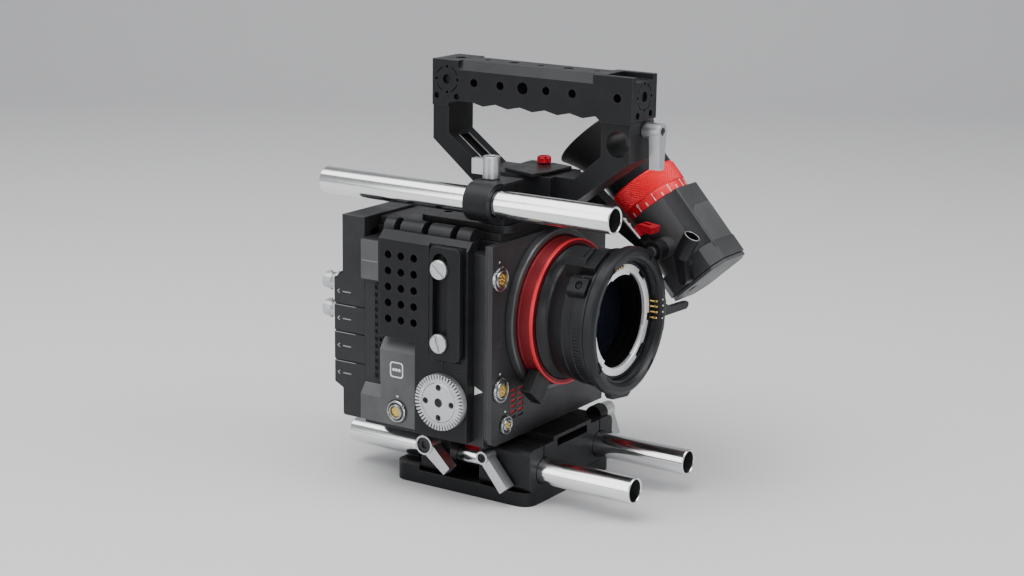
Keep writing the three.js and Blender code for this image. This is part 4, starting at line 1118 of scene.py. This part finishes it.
def make_channel_edges():
    """Bright machined lips along the channels in the handle's sloping legs."""
    deck = span_of("handle_port_cover")[2][0] - 0.3
    strips = []
    for y, degrees, reach in ((9.5, 36.4, (2, 26)), (-50, -40.3, (-19, -2))):
        for side in (-1, 1):
            edge = sorted((side * 4.4, side * 5.1))
            strip = block("lip", edge, reach, (-0.5, 0.12))
            strip.data.transform(Matrix.Translation((0, y * MM, deck * MM))
                                 @ Matrix.Rotation(math.radians(degrees), 4, "X"))
            strips.append(strip)
    add_on(soften(joined("channel_lips", strips), 0.1, 2), "top_handle", "steel")


def make_thumbscrew():
    (x0, x1), _, (z0, z1) = span_of("handle_thumbscrew")
    centre, radius, seat = middle_of("handle_thumbscrew", "z"), (x1 - x0) / 2, z1 - 4
    knob = turned("port_thumbscrew", [
        (0, z0), (1.4, z0), (1.4, seat), (radius - 0.5, seat), (radius, seat + 0.5), (radius, z1 - 0.9),
        (radius - 0.7, z1), (2.3, z1), (1.9, z1 - 0.4), (1.9, z1 - 1.6), (0, z1 - 1.6),
    ], centre, "z", 64)
    carve(knob, holes(circle(radius + 0.15, centre[:2], 18), 0.4, 10, "z", seat + 0.7, z1 - 1.1))
    stand_for(soften(knob, 0.12), "handle_thumbscrew")


# ---- Viewfinder ----------------------------------------------------------------------------------

EYE = JOINTS["diopter_turn"]


def eye_matrix():
    """The viewfinder's own frame: +Z along its axis to the eyecup, +X as the rig's +X."""
    along = Vector(EYE["axis"]).normalized()
    sideways = Vector((1, 0, 0))
    rear = along.cross(sideways)
    axes = Matrix((sideways, rear, along)).transposed().to_4x4()
    return Matrix.Translation(Vector(EYE["pos_m"])) @ axes


def in_finder(made):
    return placed(made, eye_matrix())


def make_finder_rings():
    barrel = in_finder(turned("finder_sleeve", [
        (14.6, -8.6), (17.9, -8.6), (17.9, 9.3), (20.0, 9.3), (20.3, 9.6), (20.3, 17.4), (20.0, 17.7),
        (17, 17.7), (17, 27), (14.6, 27),
    ], sides=128))
    stand_for(soften(barrel, 0.15), "finder_barrel")
    lens = in_finder(turned("ocular_lens", [
        (0, 19.2), (14.2, 19.2), (14.2, 21), (12, 21.9), (9, 22.6), (6, 23.0), (3, 23.2), (0, 23.3),
    ], sides=96))
    stand_for(soften(lens, 0.1, 1), "eye_lens")
    retainer = in_finder(turned("ocular_retainer", [
        (14.5, 21.2), (14.5, 26.8), (14.1, 26.8), (12.9, 21.9), (12.9, 21.2),
    ], sides=96))
    add_on(soften(retainer, 0.1), "eye_lens", "body_black")


def make_diopter():
    """Focus ring: a diamond-knurled band above a smooth scale band."""
    columns, rows = 576, 50
    low, high, radius, depth = -3.1, 8.4, 20.5, 0.68
    rings = []
    for j in range(rows + 1):
        height = low + (high - low) * j / rows
        fade = min(1.0, j / 2, (rows - j) / 2)
        ring = []
        for i in range(columns):
            first = abs(((i + j) / 8 % 1.0) - 0.5) * 2
            second = abs(((i - j) / 8 % 1.0) - 0.5) * 2
            r, angle = radius + depth * min(first, second) * fade, 2 * math.pi * i / columns
            ring.append((r * math.cos(angle), r * math.sin(angle), height))
        rings.append(ring)
    for r, height in ((20.5, 9.0), (18.3, 9.0), (18.3, -3.3), (20.5, -3.3)):
        rings.append([(u, v, height) for u, v in circle(r, (0, 0), columns)])
    knurl = in_finder(lofted("focus_knurl", rings))
    stand_for(knurl, "diopter_ring", KNURL_RED)
    band = in_finder(turned("focus_scale_band", [
        (18.3, -9), (20.3, -9), (20.55, -8.7), (20.6, -3.9), (20.3, -3.4), (18.3, -3.4),
    ], sides=160))
    add_on(soften(band, 0.1), "diopter_ring", "red_metal", KNURL_RED)
    marks = []
    for k in range(24):
        tick = block("tick", (20.58, 20.68), (-0.26, 0.26), (-8.7, -6.2))
        marks.append(spin(tick, "z", 15 * k, (0, 0, 0)))
        if k % 2 == 0:
            marks.append(digit(str(abs(k // 2 - 6)), 15 * k))
    add_on(in_finder(joined("focus_scale_marks", marks)), "diopter_ring", "red_metal", WHITE_INK)


def digit(text, degrees):
    """A small dial number laid on the scale band."""
    curve = bpy.data.curves.new("digit", "FONT")
    curve.body = text
    curve.size = 3.0 * MM
    curve.extrude = 0.05 * MM
    curve.align_x = "CENTER"
    collection = bpy.context.scene.collection.objects
    label = bpy.data.objects.new("digit", curve)
    collection.link(label)
    graph = bpy.context.evaluated_depsgraph_get()
    mesh = bpy.data.meshes.new_from_object(label.evaluated_get(graph))
    bpy.data.objects.remove(label)
    made = bpy.data.objects.new("digit", mesh)
    collection.link(made)
    stand = Matrix(((0, 0, 1), (1, 0, 0), (0, 1, 0))).to_4x4()
    mesh.transform(Matrix.Translation((20.62 * MM, 0, -5.8 * MM)) @ stand)
    return spin(made, "z", degrees, (0, 0, 0))


def make_eyecup():
    cup = in_finder(turned("eye_cushion_cup", [
        (17.4, 18), (20.2, 18), (20.6, 18.4), (20.6, 20.6), (20.9, 21.6), (22, 25), (23.2, 29),
        (24.6, 33), (26.2, 36.4), (28.2, 40), (30.2, 43.2), (32.0, 45.8), (31.9, 46.3), (31.3, 46.6),
        (30.4, 46.4),
        (28.4, 43.8), (26.2, 40.8), (24.2, 37.4), (22.5, 34), (21.1, 30.6), (20, 27.5), (17.4, 27),
    ], sides=128))
    bellows = [in_finder(turned("bead", [
        (r, z - 0.5), (r + 0.45, z - 0.3), (r + 0.6, z), (r + 0.45, z + 0.3), (r, z + 0.5),
    ], sides=96)) for r, z in ((21.0, 23.0), (21.9, 25.8))]
    stand_for(soften(cup, 0.2, 2, 35), "eyecup")
    add_on(soften(joined("eye_cushion_beads", bellows), 0.08, 1, 60), "eyecup", "black_rubber")


def make_finder_housing():
    housing = copy_of("finder_housing", "finder_body")
    carve(housing, [in_finder(block("spine_front", (-14, 14), (-24, -16.5), (-46.4, -9.2)))])
    section = [(11.5, -22.2), (11.7, -20), (12.6, -17.8), (14.6, -14.9)]
    section += circle(20.7, (0, 0), 60, -42, 264)
    section += [
        (-15.5, -14.0), (-13.9, -17.0), (-13.0, -19.6), (-12.8, -22.2), (-12.2, -22.8), (10.9, -22.8),
    ]
    skin = in_finder(prism("finder_skin", section, "z", -46.5, -9.35))
    add_on(soften(skin, 0.45, 3, 32), "finder_housing", "body_charcoal", FINDER_COAT)
    stand_for(soften(housing, 0.6, 3, 28), "finder_housing", FINDER_COAT)
    outline = [(-11.9, -46.3), (10.4, -46.3)]
    outline += circle(3, (7.4, -25.5), 10, 0, 90) + circle(8, (-3.9, -30.5), 20, 90, 90)
    panel = in_finder(prism("finder_front_panel", outline, "y", -23.3, -22.4))
    add_on(soften(panel, 0.3, 3, 40), "finder_housing", "body_charcoal", CAP_COAT)
    reshaped("finder_end_cover", "finder_cap", 0.5, material=CAP_COAT)
    up = (0, -math.sin(LEVER_LEAN), math.cos(LEVER_LEAN))
    rim = turned("tilt_lever_rim", [
        (4.12, 13.2), (4.66, 13.2), (4.66, 14.08), (4.58, 14.16), (4.2, 14.16), (4.12, 14.08),
    ], (43.6, -88.4, 133.5), up, 64)
    add_on(soften(rim, 0.03, 1), "finder_tilt_lever", "steel")
    start, end = Vector((32.0, -56.8, 152.9)), Vector((32.0, -68.1, 142.8))
    reach = (end - start).length
    strap = turned("spring_pin", [
        (0, 0), (0.75, 0), (0.85, 0.3), (0.85, reach - 0.3), (0.75, reach), (0, reach),
    ], start, end - start, 24)
    pad = [(0, 31.5), (0.9, 31.5), (1.15, 31.8), (1.15, 33.2), (0, 33.2)]
    pads = [turned("pad", pad, (0, y, z), "x", 24) for y, z in ((-57.6, 152.2), (-60.4, 149.7))]
    add_on(joined("arm_spring", [strap] + pads), "finder_arm", "steel")
    dome = [(0, 0.2), (0.55, 0.2), (0.55, -0.05), (0.3, -0.25), (0, -0.25)]
    lamp = in_finder(turned("status_lamp", dome, (-4.5, -12, -60), "z", 24))
    add_on(lamp, "finder_end_cover", "black_plastic", LAMP_GREEN)


# ---- Everything that keeps its CAD shape ---------------------------------------------------------

KEPT_EDGE = {
    "body_shell": 0.7, "top_cover": 0.9, "base_plate": 0.9, "top_plate": 0.6, "finder_lock_lever": 1.2,
    "finder_arm": 0.6,
}


def dress_kept_nodes():
    for name, node in frame["nodes"].items():
        if node.hide_render:
            continue
        node.data.materials.clear()
        node.data.materials.append(MATERIALS[SLOT_OF[name]])
        soften(node, KEPT_EDGE.get(name, 0.35), 3, 28, tidy=True)


make_camera()
make_floor()
make_lights()
make_base_ring()
make_locking_ring()
make_adapter()
make_lens_lock_ring()
make_flange()
make_sensor_glass()
make_sockets()
make_coaxial("bnc_upper")
make_coaxial("bnc_lower")
make_rosette()
make_side_plate()
make_label_pad()
make_perforations()
make_front_plate()
make_markings()
make_power_panel()
reshaped("slotted_rail", "accessory_rail", 0.5)
make_guard_ribs()
make_left_side()
make_back()
make_screw("rail_screw_upper", 40)
make_screw("rail_screw_lower", 72)
make_rod("top_rod")
make_rod("lower_rod_right")
make_rod("lower_rod_left")
make_bored("rod_clamp", "upper_rod_clamp", 0.5, ["top_rod"])
make_bored("base_block", "rod_base", 0.7, ["lower_rod_right", "lower_rod_left"])
make_levers()
make_handle()
make_channel_edges()
make_thumbscrew()
make_finder_rings()
make_diopter()
make_eyecup()
make_finder_housing()
dress_kept_nodes()
